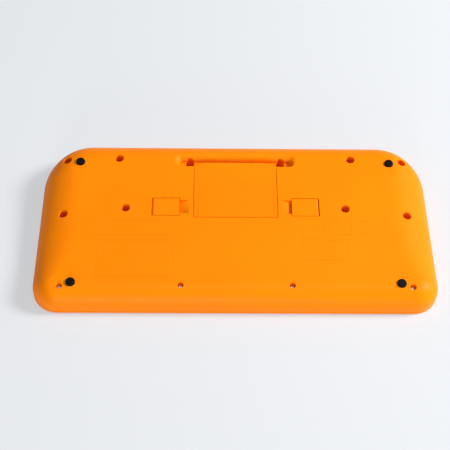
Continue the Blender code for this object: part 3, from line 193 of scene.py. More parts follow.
SWITCH_X, SWITCH_Y, SWITCH_TRAVEL = 128.0 * MM, 29.5 * MM, 6.0 * MM
KNOB_LENGTH, KNOB_WIDTH = 9.0 * MM, 6.0 * MM
SWITCH_BOARD_UNDER = FLANGE_UNDER + 0.9 * MM + 3 * GAP + 3.0 * MM
SWITCH_STANDOFF = 12.0 * MM

SPRING_TURNS, SPRING_WIRE = 4, 0.7 * MM
SPRING_WIDE, SPRING_NARROW = 4.2 * MM, 2.6 * MM
SPRING_LENGTH = 4.7 * MM

DECK = Matrix.Translation((0, 0, DECK_HEIGHT)) @ Matrix.Rotation(DECK_TILT, 4, "X")
ABOVE = 45.0 * MM                 # above everything
DECK_ABOVE = 7.5 * MM             # above everything, in deck coordinates

# ---------------------------------------------------------------- finer than the part

CORNER_STEPS = 24
SIDE_STEPS = 20
ROUND_STEPS = 20
TROUGH_STEPS = 16
TROUGH_CORNER_STEPS = 14
TROUGH_SPACING = 1.5 * MM         # between points along its sides
WELL_STEPS = 40
MOUTH_RADIUS = 0.45 * MM          # rounded mouth of a well, seat or pocket
MOUTH_STEPS = 4
SOFT_MOUTH = 0.3 * MM             # of a pad seat, a pocket or the cover's seat
CUTTER_LIFT = 0.004 * MM          # keeps a cutter's edge off the surface that it meets
ROD_STEPS = 24
HINGE_STEPS = 16
PLATE_SOFT = 0.35 * MM            # rounded edges of the cover and the tilt feet
RIM_SOFT = 0.8 * MM
KNOB_SOFT = 0.6 * MM
NEAR_HALF = 0.499                 # of a width: the corner radius of a round opening or plunger
CORNER_SIGNS = ((1, 1), (-1, 1), (-1, -1), (1, -1))
SIDES = ((-1, "left"), (1, "right"))
TROUGH_BLEND = 0.9 * MM           # height over which its walls flow into the deck
TROUGH_REACH = (0.15, 0.35, 0.6, 0.9, 1.3, 1.8, 2.4, 3.0)   # mm beyond its edge, one ring each


def smooth(t):
    """An S-curve from 0 to 1."""
    t = min(max(t, 0.0), 1.0)
    return t * t * (3 - 2 * t)


def rounding_at(y):
    """How far the rounding reaches in from the outline, from front to side to rear."""
    to_side = smooth((y + HALF_DEPTH) / (FRONT_BLEND_END + HALF_DEPTH))
    to_rear = smooth((y - REAR_BLEND_START) / (HALF_DEPTH - REAR_BLEND_START))
    return FRONT_ROUND + (SIDE_ROUND - FRONT_ROUND) * to_side + (REAR_ROUND - SIDE_ROUND) * to_rear


def deck_height(y):
    return DECK_HEIGHT + y * math.tan(DECK_TILT)


# ---------------------------------------------------------------- meshes

def clear_away(piece):
    """Remove a helper object and its mesh."""
    mesh = piece.data
    bpy.data.objects.remove(piece, do_unlink=True)
    if mesh.users == 0:
        bpy.data.meshes.remove(mesh)


def make_object(name, bm, matrix=None):
    """Turn a bmesh into an object, first moving its points by the matrix."""
    if matrix is not None:
        bmesh.ops.transform(bm, matrix=matrix, verts=bm.verts)
    mesh = bpy.data.meshes.new(name)
    bm.to_mesh(mesh)
    bm.free()
    piece = bpy.data.objects.new(name, mesh)
    bpy.context.scene.collection.objects.link(piece)
    return piece


def settle(piece):
    """Apply a piece's modifiers to its mesh."""
    bpy.context.view_layer.update()
    graph = bpy.context.evaluated_depsgraph_get()
    mesh = bpy.data.meshes.new_from_object(piece.evaluated_get(graph))
    piece.modifiers.clear()
    old = piece.data
    piece.data = mesh
    bpy.data.meshes.remove(old)
    return piece


def combine(piece, tool, operation="DIFFERENCE"):
    """Cut, join or trim a piece with a tool, which is then removed."""
    modifier = piece.modifiers.new(operation.lower(), "BOOLEAN")
    modifier.operation = operation
    modifier.solver = "EXACT"
    modifier.object = tool
    settle(piece)
    clear_away(tool)
    return piece


def add_box(bm, low, high):
    low, high = Vector(low), Vector(high)
    size = Matrix.Diagonal((*(high - low), 1.0))
    bmesh.ops.create_cube(bm, size=1.0, matrix=Matrix.Translation((low + high) / 2) @ size)


def add_rod(bm, radius, start, end, steps):
    start, end = Vector(start), Vector(end)
    turn = (end - start).to_track_quat("Z", "Y").to_matrix().to_4x4()
    bmesh.ops.create_cone(
        bm, cap_ends=True, segments=steps, radius1=radius, radius2=radius, depth=(end - start).length,
        matrix=Matrix.Translation((start + end) / 2) @ turn)


def skin(bm, rings):
    """Skin a closed solid over rings of points that run anticlockwise, lowest ring first."""
    loops = [[bm.verts.new(point) for point in ring] for ring in rings]
    for lower, upper in zip(loops, loops[1:]):
        for i, corner in enumerate(lower):
            after = (i + 1) % len(lower)
            bm.faces.new((corner, lower[after], upper[after], upper[i]))
    bm.faces.new(reversed(loops[0]))
    bm.faces.new(loops[-1])


def skinned(name, solids, matrix=None, outward=False):
    """Object of solids, each a list of rings. outward turns their faces out, whatever their order."""
    bm = bmesh.new()
    for rings in solids:
        skin(bm, rings)
    if outward:
        bmesh.ops.recalc_face_normals(bm, faces=bm.faces)
    return make_object(name, bm, matrix)


def boxes(name, corners):
    """Object of boxes, each given by its low and high corner in deck coordinates."""
    bm = bmesh.new()
    for low, high in corners:
        add_box(bm, low, high)
    return make_object(name, bm, DECK)


def rods(name, ends, steps, matrix=None):
    """Object of round rods, each given by its radius and its two ends."""
    bm = bmesh.new()
    for radius, start, end in ends:
        add_rod(bm, radius, start, end, steps)
    return make_object(name, bm, matrix)


def quarter_round(radius, steps):
    """Insets and rises of an edge rounded over a quarter turn, from its face to its side."""
    turns = [step / steps * math.pi / 2 for step in range(steps + 1)]
    return [(radius * (1 - math.sin(turn)), radius * (1 - math.cos(turn))) for turn in turns]


def add_turned(bm, profile, steps, matrix):
    """Add a solid turned about Z from a profile of (radius, height), top to bottom, ending on the axis."""
    made = bmesh.new()
    points = [made.verts.new((radius, 0, height)) for radius, height in profile]
    edges = [made.edges.new(pair) for pair in zip(points, points[1:])]
    bmesh.ops.spin(
        made, geom=points + edges, cent=(0, 0, 0), axis=(0, 0, 1), angle=2 * math.pi, steps=steps,
        use_merge=True)
    bmesh.ops.remove_doubles(made, verts=made.verts, dist=0.000001)
    bmesh.ops.recalc_face_normals(made, faces=made.faces)
    bmesh.ops.transform(made, matrix=matrix, verts=made.verts)
    mesh = bpy.data.meshes.new("turned")
    made.to_mesh(mesh)
    made.free()
    bm.from_mesh(mesh)
    bpy.data.meshes.remove(mesh)


def turned(name, profile, steps, matrix):
    bm = bmesh.new()
    add_turned(bm, profile, steps, matrix)
    return make_object(name, bm)


def rounded_ring(width, depth, radius, height, centre=(0, 0), steps=8):
    """Ring of a rectangle with rounded corners at one height."""
    ring = []
    for turn, (sx, sy) in enumerate(CORNER_SIGNS):
        for step in range(steps + 1):
            angle = (turn + step / steps) * math.pi / 2
            x = sx * (width / 2 - radius) + radius * math.cos(angle)
            y = sy * (depth / 2 - radius) + radius * math.sin(angle)
            ring.append((centre[0] + x, centre[1] + y, height))
    return ring


def soften(piece, width, segments=3, angle=30):
    """Round a piece's edges, with the flats kept flat."""
    bevel = piece.modifiers.new("round_edges", "BEVEL")
    bevel.width = width
    bevel.segments = segments
    bevel.limit_method = "ANGLE"
    bevel.angle_limit = angle * DEG
    return settle(piece)


def shade(piece, angle=40):
    """Smooth shading that keeps real edges and gives flats their own normals."""
    piece.data.shade_smooth()
    piece.data.set_sharp_from_angle(angle=angle * DEG)
    weights = piece.modifiers.new("flat_faces_first", "WEIGHTED_NORMAL")
    weights.keep_sharp = True
    return settle(piece)


def finish(piece, body, material, slot, *replaced):
    """Give a made piece its material and its body, and hide the part's nodes that it replaces; slot is not
    used.
    """
    piece.data.materials.clear()
    piece.data.materials.append(material)
    if replaced:
        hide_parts(*replaced)
    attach(piece, body)
    return piece


# ---------------------------------------------------------------- materials

def new_material(name):
    material = bpy.data.materials.new(name)
    material.use_nodes = True
    nodes, links = material.node_tree.nodes, material.node_tree.links
    return material, nodes, links, nodes["Principled BSDF"]


def add_node(nodes, kind, **values):
    """Add a node and set its inputs, named with _ for a space."""
    node = nodes.new(kind)
    for name, value in values.items():
        node.inputs[name.replace("_", " ")].default_value = value
    return node


def connect(links, *joins):
    """Link an output of one node to an input of another, for each join."""
    for source, output, target, socket in joins:
        links.new(source.outputs[output], target.inputs[socket])


def add_ramp(nodes, low, high):
    """Colour ramp between two colours."""
    ramp = nodes.new("ShaderNodeValToRGB")
    for element, colour in zip(ramp.color_ramp.elements, (low, high)):
        element.color = (*colour, 1)
    return ramp


def moulded_plastic(name, colour, roughness=0.42, grain=0.35, grain_size=0.35 * MM, mottle=0.04,
                    strength=0.25, shine=0.5):
    """Moulded plastic: a fine sparked grain, faint flow mottling and uneven gloss."""
    material, nodes, links, shader = new_material(name)
    place = nodes.new("ShaderNodeTexCoord")
    flow = add_node(nodes, "ShaderNodeTexNoise", Scale=14.0, Detail=3.0)
    tint = add_ramp(nodes, [c * (1 - mottle) for c in colour], [min(1.0, c * (1 + mottle)) for c in colour])
    tint.color_ramp.elements[0].position = 0.3
    tint.color_ramp.elements[1].position = 0.7
    sparks = add_node(nodes, "ShaderNodeTexNoise", Scale=1.0 / grain_size, Detail=2.0)
    bump = add_node(nodes, "ShaderNodeBump", Strength=strength, Distance=grain * 0.1 * MM)
    gloss = add_node(nodes, "ShaderNodeMapRange", To_Min=roughness - 0.05, To_Max=roughness + 0.05)
    connect(links, (place, "Object", flow, "Vector"), (flow, "Fac", tint, "Fac"),
            (tint, "Color", shader, "Base Color"), (place, "Object", sparks, "Vector"),
            (sparks, "Fac", bump, "Height"), (bump, "Normal", shader, "Normal"),
            (flow, "Fac", gloss, "Value"), (gloss, "Result", shader, "Roughness"))
    shader.inputs["Specular IOR Level"].default_value = shine
    return material


def worn_metal(name, colour, roughness):
    """Plated metal with fine uneven gloss."""
    material, nodes, links, shader = new_material(name)
    place = nodes.new("ShaderNodeTexCoord")
    patches = add_node(nodes, "ShaderNodeTexNoise", Scale=900.0, Detail=4.0)
    gloss = add_node(nodes, "ShaderNodeMapRange", To_Min=roughness - 0.1, To_Max=roughness + 0.12)
    tint = add_ramp(nodes, [c * 0.82 for c in colour], colour)
    connect(links, (place, "Object", patches, "Vector"), (patches, "Fac", gloss, "Value"),
            (gloss, "Result", shader, "Roughness"), (patches, "Fac", tint, "Fac"),
            (tint, "Color", shader, "Base Color"))
    shader.inputs["Metallic"].default_value = 1.0
    return material


ORANGE = (1.0, 0.235, 0.0)
SHELL_ORANGE = moulded_plastic("satin_orange_shell", ORANGE, shine=0.08)
COVER_ORANGE = moulded_plastic("satin_orange_cover", (1.0, 0.228, 0.0), shine=0.08)
TILT_ORANGE = moulded_plastic("satin_orange_tilt_foot", ORANGE, shine=0.08)
FACE_ORANGE = moulded_plastic("satin_orange_face", ORANGE, 0.45, shine=0.08)
PAD_RUBBER = moulded_plastic(
    "black_pad_rubber", (0.003, 0.0034, 0.0048), 0.6, 0.6, 0.25 * MM, 0.15, 0.4, 0.12)
# Screw steel with a painted highlight: its base is lighter and pinker than plain steel, so the heads in the
# wells show a pinkish-white glint.
SCREW_STEEL_PAINTED_GLINT = worn_metal("screw_steel_with_painted_glint", (0.95, 0.86, 0.82), 0.45)
PIN_STEEL = worn_metal("drawn_pin_steel", (0.55, 0.55, 0.56), 0.3)
SPRING_STEEL = worn_metal("bright_spring_wire", (0.62, 0.63, 0.65), 0.25)
NICKEL = worn_metal("nickel_contact_plate", (0.68, 0.65, 0.60), 0.28)
BASKET_STEEL = worn_metal("speaker_basket_steel", (0.45, 0.45, 0.46), 0.4)
CELL_FILM = moulded_plastic("blue_cell_film", (0.05, 0.12, 0.30), 0.3, 0.1, 0.8 * MM, 0.03, 0.1)
BOARD_GREEN = moulded_plastic("green_solder_resist", (0.01, 0.16, 0.06), 0.4, 0.3, 0.4 * MM, 0.1, 0.2)
CHIP_BLACK = moulded_plastic("black_chip_resin", (0.02, 0.02, 0.022), 0.6, 0.4, 0.2 * MM, 0.1, 0.4)
MAT_RUBBER = moulded_plastic("grey_key_mat_rubber", (0.30, 0.31, 0.33), 0.7, 0.3, 0.4 * MM, 0.05, 0.3)
DISPLAY_GREY = moulded_plastic("grey_display_glass", (0.24, 0.28, 0.24), 0.15, 0.02, 1.0 * MM, 0.02, 0.05)
WINDOW_SMOKE = moulded_plastic("smoked_window_plastic", (0.05, 0.06, 0.07), 0.06, 0.02, 1.0 * MM, 0.02, 0.05)
CONE_PAPER = moulded_plastic("black_cone_paper", (0.03, 0.03, 0.03), 0.9, 1.0, 0.5 * MM, 0.2, 0.6)
MAGNET_FERRITE = moulded_plastic("grey_magnet_ferrite", (0.06, 0.06, 0.065), 0.6, 0.6, 0.3 * MM, 0.2, 0.4)
SWITCH_BLACK = moulded_plastic("black_switch_plastic", (0.02, 0.02, 0.02), 0.5)
KNOB_WHITE = moulded_plastic("white_knob_plastic", (0.85, 0.85, 0.82), 0.4)
RED_SLEEVE = moulded_plastic("red_wire_sleeve", (0.55, 0.01, 0.01), 0.45, 0.2, 0.5 * MM, 0.05, 0.2)
BLACK_SLEEVE = moulded_plastic("black_wire_sleeve", (0.015, 0.015, 0.015), 0.45, 0.2, 0.5 * MM, 0.05, 0.2)
KEY_PLASTICS = {
    "red": moulded_plastic("red_key_plastic", (0.75, 0.03, 0.02)),
    "yellow": moulded_plastic("yellow_key_plastic", (0.95, 0.62, 0.02)),
    "green": moulded_plastic("green_key_plastic", (0.08, 0.50, 0.08)),
    "blue": moulded_plastic("blue_key_plastic", (0.02, 0.20, 0.70)),
}


# ---------------------------------------------------------------- the rounded wedge of the body

def outline_points():
    """Points of the body's outline with their outward directions, anticlockwise from the right side."""
    half, rear, front = HALF_WIDTH, REAR_CORNER, FRONT_CORNER
    rear_y, front_y = HALF_DEPTH - rear, front - HALF_DEPTH
    corners = (
        (half - rear, rear_y, rear), (rear - half, rear_y, rear),
        (front - half, front_y, front), (half - front, front_y, front),
    )
    points = []
    for quarter, (x, y, radius) in enumerate(corners):
        for step in range(CORNER_STEPS + 1):
            angle = (quarter + step / CORNER_STEPS) * math.pi / 2
            outward = (math.cos(angle), math.sin(angle))
            points.append((x + radius * outward[0], y + radius * outward[1], *outward))
        if quarter % 2:
            side = -1 if quarter == 1 else 1
            first, last = (rear_y, front_y) if quarter == 1 else (front_y, rear_y)
            for step in range(1, SIDE_STEPS):
                points.append((side * half, first + (last - first) * step / SIDE_STEPS, side, 0))
    return points


def wedge_rings(inset, bottom):
    """Rings of the body's outer surface drawn in by inset, from the height bottom up to the deck."""
    points = outline_points()
    rings = [[(x - nx * inset, y - ny * inset, bottom) for x, y, nx, ny in points]]
    for step in range(ROUND_STEPS + 1):
        angle = step / ROUND_STEPS * math.pi / 2
        ring = []
        for x, y, nx, ny in points:
            inward = inset + (rounding_at(y) - inset) * (1 - math.cos(angle))
            py = y - ny * inward
            top = deck_height(py) - inset
            ring.append((x - nx * inward, py, top - (top - UPRIGHT) * (1 - math.sin(angle))))
        rings.append(ring)
    return rings


def flat_ring(inset, height):
    return [(x - nx * inset, y - ny * inset, height) for x, y, nx, ny in outline_points()]


def wells():
    """Every screw place: x, y, bore of its well and height of the floor under its head."""
    places = [(side * x * MM, y * MM, DEEP_BORE, DEEP_SEAT) for x, y in DEEP_PLACES for side in (-1, 1)]
    for x, y in SHALLOW_PLACES:
        for side in (-1, 1):
            places.append((side * x * MM, y * MM, SHALLOW_BORE, deck_height(y * MM) - SHALLOW_DEPTH))
    return places


# ---------------------------------------------------------------- back shell

def surface_tree(piece, matrix=Matrix()):
    """Tree of a piece's mesh as it is now, moved by a matrix, to find its height under a point."""
    bm = bmesh.new()
    bm.from_mesh(piece.data)
    bmesh.ops.transform(bm, matrix=matrix, verts=bm.verts)
    bmesh.ops.triangulate(bm, faces=bm.faces)
    tree = BVHTree.FromBMesh(bm)
    bm.free()
    return tree


def height_under(tree, x, y, top):
    return tree.ray_cast(Vector((x, y, top)), Vector((0, 0, -1)))[0].z


def outward_of(outline):
    """Outward direction at each point of an outline that runs anticlockwise."""
    outward = []
    for i in range(len(outline)):
        before, after = outline[i - 1], outline[(i + 1) % len(outline)]
        along = (Vector(after) - Vector(before)).normalized()
        outward.append((along.y, -along.x))
    return outward


def mouth_rings(outline, tree, top, radius):
    """Rings of a cutter that flares out into a rounded mouth along the surface, lowest first.

    The points (x, y) of the outline run anticlockwise."""
    rings = []
    for grow, depth in reversed(quarter_round(radius, MOUTH_STEPS)):
        ring = []
        for (x, y), (nx, ny) in zip(outline, outward_of(outline)):
            px, py = x + nx * grow, y + ny * grow
            height = height_under(tree, px, py, top)
            ring.append((px, py, height - depth + (CUTTER_LIFT if depth == 0 else 0)))
        rings.append(ring)
    return rings + [[(x, y, top) for x, y, _ in rings[-1]]]


def pit_rings(outline, tree, floor, top, mouth):
    """Rings of a cutter with a flat floor and a rounded mouth."""
    return [[(x, y, floor) for x, y in outline]] + mouth_rings(outline, tree, top, mouth)


def circle(x, y, radius, steps=WELL_STEPS):
    turns = [2 * math.pi * i / steps for i in range(steps)]
    return [(x + radius * math.cos(turn), y + radius * math.sin(turn)) for turn in turns]


def rectangle(x0, y0, x1, y1, radius=0.5 * MM, steps=5, spacing=4.0 * MM):
    """Outline of a rectangle with rounded corners and points spaced along its sides."""
    corners = ((x1, y1, 0), (x0, y1, 1), (x0, y0, 2), (x1, y0, 3))
    signs = ((-1, -1), (1, -1), (1, 1), (-1, 1))
    points = []
    for (x, y, quarter), (sx, sy) in zip(corners, signs):
        cx, cy = x + sx * radius, y + sy * radius
        for step in range(steps + 1):
            turn = (quarter + step / steps) * math.pi / 2
            points.append((cx + radius * math.cos(turn), cy + radius * math.sin(turn)))
    dense = []
    for i, point in enumerate(points):
        after = points[(i + 1) % len(points)]
        length = math.dist(point, after)
        parts = max(1, int(length / spacing))
        for part in range(parts):
            t = part / parts
            dense.append((point[0] + (after[0] - point[0]) * t, point[1] + (after[1] - point[1]) * t))
    return dense


def trough_outline(half, width, radius):
    """Plan of the trough at one height, from its near side, with the same number of points at each height."""
    near, far = TROUGH_NEAR, TROUGH_NEAR + width
    corners = ((half - radius, far - radius), (radius - half, far - radius),
               (radius - half, near + radius), (half - radius, near + radius))
    along = int(2 * TROUGH_HALF / TROUGH_SPACING)
    across = 6
    points = []
    for quarter, (x, v) in enumerate(corners):
        for step in range(TROUGH_CORNER_STEPS + 1):
            turn = (quarter + step / TROUGH_CORNER_STEPS) * math.pi / 2
            points.append((x + radius * math.cos(turn), v + radius * math.sin(turn)))
        after = corners[(quarter + 1) % 4]
        turn = (quarter + 1) * math.pi / 2
        start = points[-1]
        end = (after[0] + radius * math.cos(turn), after[1] + radius * math.sin(turn))
        count = across if quarter % 2 else along
        for step in range(1, count):
            points.append(tuple(Vector(start).lerp(Vector(end), step / count)))
    return points


def trough_rings(grow):
    """Rings of the trough, larger than the real one by grow, lowest ring first."""
    rings = []
    reach = (TROUGH_FAR - TROUGH_FOOT) / (1 - math.cos(TROUGH_TURN))
    rise = TROUGH_DEPTH / math.sin(TROUGH_TURN)
    for step in range(TROUGH_STEPS + 1):
        angle = step / TROUGH_STEPS * TROUGH_TURN
        far = TROUGH_FOOT + reach * (1 - math.cos(angle))
        height = rise * math.sin(angle) - TROUGH_DEPTH
        half = TROUGH_HALF - (TROUGH_FAR - far) * TROUGH_END_SHARE
        width = far - TROUGH_NEAR
        plan = trough_outline(half, width, TROUGH_CORNER_SHARE * width)
        if grow:
            plan = [(x + nx * grow, v + ny * grow) for (x, v), (nx, ny) in zip(plan, outward_of(plan))]
        rings.append([(x, v, height - grow) for x, v in plan])
    return rings


def trough_block():
    """The trough's walls with their thickness, as a solid up to above the deck."""
    rings = trough_rings(WALL)
    return skinned("trough_block", [rings + [[(u, v, DECK_ABOVE) for u, v, _ in rings[-1]]]], DECK)


def flow_together(first, second, reach):
    """The lower of two heights, with a soft change from one to the other."""
    near = max(reach - abs(first - second), 0.0) / reach
    return min(first, second) - near * near * reach / 4


def trough_cutter(tree):
    """Space of the trough, whose walls flow into the deck and the rear rounding."""
    rings = trough_rings(0)
    plan = [(u, v) for u, v, _ in rings[-1]]
    steps = [math.dist(a[:2], b[:2]) for a, b in zip(rings[-2], rings[-1])]
    rise = rings[-1][0][2] - rings[-2][0][2]
    slopes = [max(rise / max(step, rise / 8), 0.3) for step in steps]
    for reach in TROUGH_REACH:
        out = reach * MM
        rings.append([(u + nu * out, v + nv * out, slope * out)
                      for (u, v), (nu, nv), slope in zip(plan, outward_of(plan), slopes)])
    cut = [[(u, v, flow_together(height_under(tree, u, v, DECK_ABOVE), w, TROUGH_BLEND) + CUTTER_LIFT)
            for u, v, w in ring] for ring in rings]
    return skinned("trough_cutter", [cut + [[(u, v, DECK_ABOVE) for u, v, _ in cut[-1]]]], DECK)


def shell_hollow():
    """Space inside the shell: well tubes, pocket boxes, battery box and trough floor are left out of it."""
    hollow = skinned("shell_hollow", [wedge_rings(WALL, 0)])
    half_length, half_depth = BAY_HALF_LENGTH + BAY_WALL, BAY_HALF_DEPTH + BAY_WALL
    latch = TONGUE_WIDTH / 2 + SLIDE_GAP + 2 * BAY_WALL
    margin = PIN_HOLD + 4 * GAP
    pockets = []
    for side in (-1, 1):
        ends = sorted((side * (POCKET_INNER - SCOOP_LENGTH - BAY_WALL), side * (POCKET_OUTER + BAY_WALL)))
        pockets.append(((ends[0], POCKET_NEAR - margin, POCKET_FLOOR - BAY_WALL),
                        (ends[1], POCKET_FAR + margin, DECK_ABOVE)))
    for work in (
            rods("well_tubes", [(bore / 2 + WELL_WALL, (x, y, seat - WELL_FLOOR), (x, y, ABOVE))
                                for x, y, bore, seat in wells()], ROD_STEPS),
            boxes("cover_ledge", [
                ((-SEAT_HALF - BAY_WALL, SEAT_FRONT - BAY_WALL - TAB_REACH, SEAT_W - BAY_WALL),
                 (SEAT_HALF + BAY_WALL, COVER_SHOULDER + BAY_WALL, DECK_ABOVE))]),
            boxes("battery_box", [((-half_length, BAY_CENTRE - half_depth, BAY_FLOOR - BAY_WALL),
                                   (half_length, BAY_CENTRE + half_depth, DECK_ABOVE))]),
            boxes("latch_block", [((-latch, COVER_SHOULDER - 2 * BAY_WALL, TONGUE_FLOOR - BAY_WALL),
                                   (latch, NOTCH_FAR + 2 * BAY_WALL, DECK_ABOVE))]),
            trough_block(),
            boxes("pocket_boxes", pockets)):
        combine(hollow, work)
    return hollow


def groove_bar(start, end, width, depth, top=0.0):
    """Rings of the cutter of a straight V-shaped groove on a face at height top, in deck coordinates."""
    start, end = Vector((*start, top)), Vector((*end, top))
    along = (end - start).normalized()
    aside = Vector((along.y, -along.x, 0)) * (width / 2 * (depth + OVERRUN) / depth)
    up, down = Vector((0, 0, OVERRUN)), Vector((0, 0, -depth))
    return [[p + up + aside, p + up - aside, p + down] for p in (start, end)]


FRAMES = (
    (-125.2, -22.6, -57.9, -5.6), (-124.8, -65.0, -57.0, -27.9), (59.5, -23.8, 80.4, -4.8),
    (85.0, -20.8, 104.7, -6.0), (110.6, -18.6, 121.8, -6.9), (58.5, -47.3, 100.4, -26.9),
)
DIMPLES = ((-83.7, 2.0), (88.3, 2.7))
DIMPLE_RADIUS, DIMPLE_DEPTH = 1.2 * MM, 0.25 * MM
FRAME_GROOVE_WIDTH = 1.0 * MM
FRAME_GROOVE_DEPTH = 0.35 * MM
FRAME_CORNER_GAP = 0.5 * MM       # between the grooves that meet at a corner


def make_back_shell():
    shell = skinned("back_shell_moulding", [wedge_rings(0, SEAM + GAP)])
    deck_tree = surface_tree(shell, DECK.inverted())
    combine(shell, trough_cutter(deck_tree))
    above = surface_tree(shell)
    combine(shell, shell_hollow())

    cutters = []
    for x, y, bore, seat in wells():
        narrow = circle(x, y, SHANK / 2 + GAP)
        hole = [[(px, py, height) for px, py in narrow] for height in (seat - 2 * WELL_FLOOR, seat)]
        cutters.append(hole + pit_rings(circle(x, y, bore / 2), above, seat, ABOVE, MOUTH_RADIUS))
    combine(shell, skinned("well_cutters", cutters))

    pits = []
    for side in (-1, 1):
        pits += [(circle(side * FOOT_X, v, FOOT_DIAMETER / 2 + GAP), -FOOT_SEAT) for v in FOOT_VS]
        ends = sorted((side * POCKET_INNER, side * POCKET_OUTER))
        pits.append((rectangle(ends[0], POCKET_NEAR, ends[1], POCKET_FAR), POCKET_FLOOR))
    pits.append((rectangle(-SEAT_HALF, SEAT_FRONT, SEAT_HALF, LIP_CLEAR), SEAT_W))
    combine(shell, skinned("deck_cutters", [pit_rings(outline, deck_tree, floor, DECK_ABOVE, SOFT_MOUTH)
                                            for outline, floor in pits], DECK))
    combine(shell, boxes("battery_bay", [((-BAY_HALF_LENGTH, BAY_CENTRE - BAY_HALF_DEPTH, BAY_FLOOR),
                                          (BAY_HALF_LENGTH, BAY_CENTRE + BAY_HALF_DEPTH, OVERRUN))]))

    reach, half = TAB_WIDTH / 2 + SLIDE_GAP, TONGUE_WIDTH / 2 + SLIDE_GAP
    slots = [((side * TAB_X - reach, SEAT_FRONT - TAB_REACH, SEAT_W - 3 * BAY_WALL),
              (side * TAB_X + reach, SEAT_FRONT + TAB_REACH + 2 * TAB_THICKNESS, -SHELL_OVER_TAB))
             for side in (-1, 1)]
    slots.append(((-half, TONGUE_FRONT - SLIDE_GAP, TONGUE_FLOOR), (half, NOTCH_FAR, OVERRUN)))
    combine(shell, boxes("tab_and_tongue_slots", slots))
    combine(shell, pin_rods("pin_holes", (-1, 1), PIN_HOLD + GAP, POCKET_NEAR, POCKET_FAR))
    combine(shell, skinned("finger_scoops", [scoop_rings(side) for side in (-1, 1)], DECK))

    grooves = []
    short = FRAME_GROOVE_WIDTH / 2 + FRAME_CORNER_GAP
    for u0, v0, u1, v1 in [[value * MM for value in frame_box] for frame_box in FRAMES]:
        grooves += [((u0 + short, v), (u1 - short, v)) for v in (v0, v1)]
        grooves += [((u, v0 + short), (u, v1 - short)) for u in (u0, u1)]
    bars = [groove_bar(start, end, FRAME_GROOVE_WIDTH, FRAME_GROOVE_DEPTH) for start, end in grooves]
    combine(shell, skinned("frame_grooves", bars, DECK, outward=True))

    bm = bmesh.new()
    for u, v in DIMPLES:
        profile = [(0, OVERRUN), (DIMPLE_RADIUS + 0.1 * MM, OVERRUN), (DIMPLE_RADIUS, 0.02 * MM)]
        profile += [(DIMPLE_RADIUS * math.cos(a), -DIMPLE_DEPTH * math.sin(a)) for a in (0.4, 0.8, 1.2)]
        profile += [(0, -DIMPLE_DEPTH)]
        add_turned(bm, profile, 20, Matrix.Translation((u * MM, v * MM, 0)))
    combine(shell, make_object("dimples", bm, DECK))

    shade(shell, 40)
    return finish(shell, "body", SHELL_ORANGE, "orange_shell", "back_shell")


def scoop_rings(side):
    """Rings of the ramp beside a tilt foot, deepest at the foot's inner end."""
    deep_x, high_x = POCKET_INNER + GAP, POCKET_INNER - SCOOP_LENGTH
    section = [(high_x, 0), (deep_x, -SCOOP_DEPTH), (deep_x, OVERRUN), (high_x, OVERRUN)]
    half = SCOOP_WIDTH / 2
    near, far = POCKET_V - half, POCKET_V + half
    order = (far, near) if side > 0 else (near, far)
    return [[(side * x, v, w) for x, w in section] for v in order]


def pin_rods(name, sides, reach, near, far):
    """Rods for the holes of the tilt feet's pins, which reach past near and far."""
    return rods(name, [(PIN_DIAMETER / 2 + GAP, (side * PIN_X, near - reach, PIN_W),
                        (side * PIN_X, far + reach, PIN_W)) for side in sides], 20, DECK)


# ---------------------------------------------------------------- pieces on the underside

def make_cover():
    """Battery cover: plate with a pull lip, two tabs at its near edge and a tongue under the lip."""
    half, lip = COVER_HALF, COVER_LIP_HALF
    plan = ((-half, COVER_FRONT), (half, COVER_FRONT), (half, COVER_SHOULDER), (lip, COVER_LIP),
            (-lip, COVER_LIP), (-half, COVER_SHOULDER))
    rings = [[(u, v, w) for u, v in plan] for w in (COVER_UNDER, COVER_TOP)]
    cover = skinned("battery_cover_plate", [rings], DECK)
    soften(cover, PLATE_SOFT, 3)
    lines = [groove_bar((u, COVER_FRONT - OVERRUN), (u, COVER_SHOULDER - 2 * OVERRUN), COVER_LINE_WIDTH,
                        COVER_LINE_DEPTH, COVER_TOP)
             for u in (-(half - COVER_LINE_INSET), half - COVER_LINE_INSET)]
    combine(cover, skinned("cover_lines", lines, DECK, outward=True))
    top = -SHELL_OVER_TAB - GAP
    hooks = [((x - TAB_WIDTH / 2, COVER_FRONT + GAP - TAB_REACH, top - TAB_THICKNESS),
              (x + TAB_WIDTH / 2, COVER_FRONT + TAB_THICKNESS, top)) for x in (-TAB_X, TAB_X)]
    half = TONGUE_WIDTH / 2
    hooks.append(((-half, TONGUE_FRONT, COVER_UNDER - TONGUE_LENGTH),
                  (half, TONGUE_FRONT + TONGUE_THICKNESS, COVER_TOP - OVERRUN)))
    combine(cover, soften(boxes("cover_hooks", hooks), 0.2 * MM, 2), "UNION")
    shade(cover)
    return finish(cover, "cover", COVER_ORANGE, "orange_cover", "battery_cover")


def make_tilt_feet():
    half = TILT_THICKNESS / 2
    length = PIN_X - POCKET_INNER - SLIDE_GAP
    near, far = POCKET_NEAR + SLIDE_GAP, POCKET_FAR - SLIDE_GAP
    for side, label in SIDES:
        section = [(-side * length, half), (-side * length, -half)]
        for step in range(HINGE_STEPS + 1):
            angle = (step / HINGE_STEPS - 0.5) * math.pi
            section.append((side * half * math.cos(angle), half * math.sin(angle)))
        order = (far, near) if side > 0 else (near, far)
        rings = [[(side * PIN_X + x, v, PIN_W + w) for x, w in section] for v in order]
        foot = soften(skinned(f"tilt_foot_plate_{label}", [rings], DECK), PLATE_SOFT, 3)
        combine(foot, pin_rods("pin_bore", (side,), OVERRUN, near, far))
        shade(foot)
        finish(foot, f"tilt_foot_{label}", TILT_ORANGE, "orange_tilt_foot", f"tilt_foot_{label}")


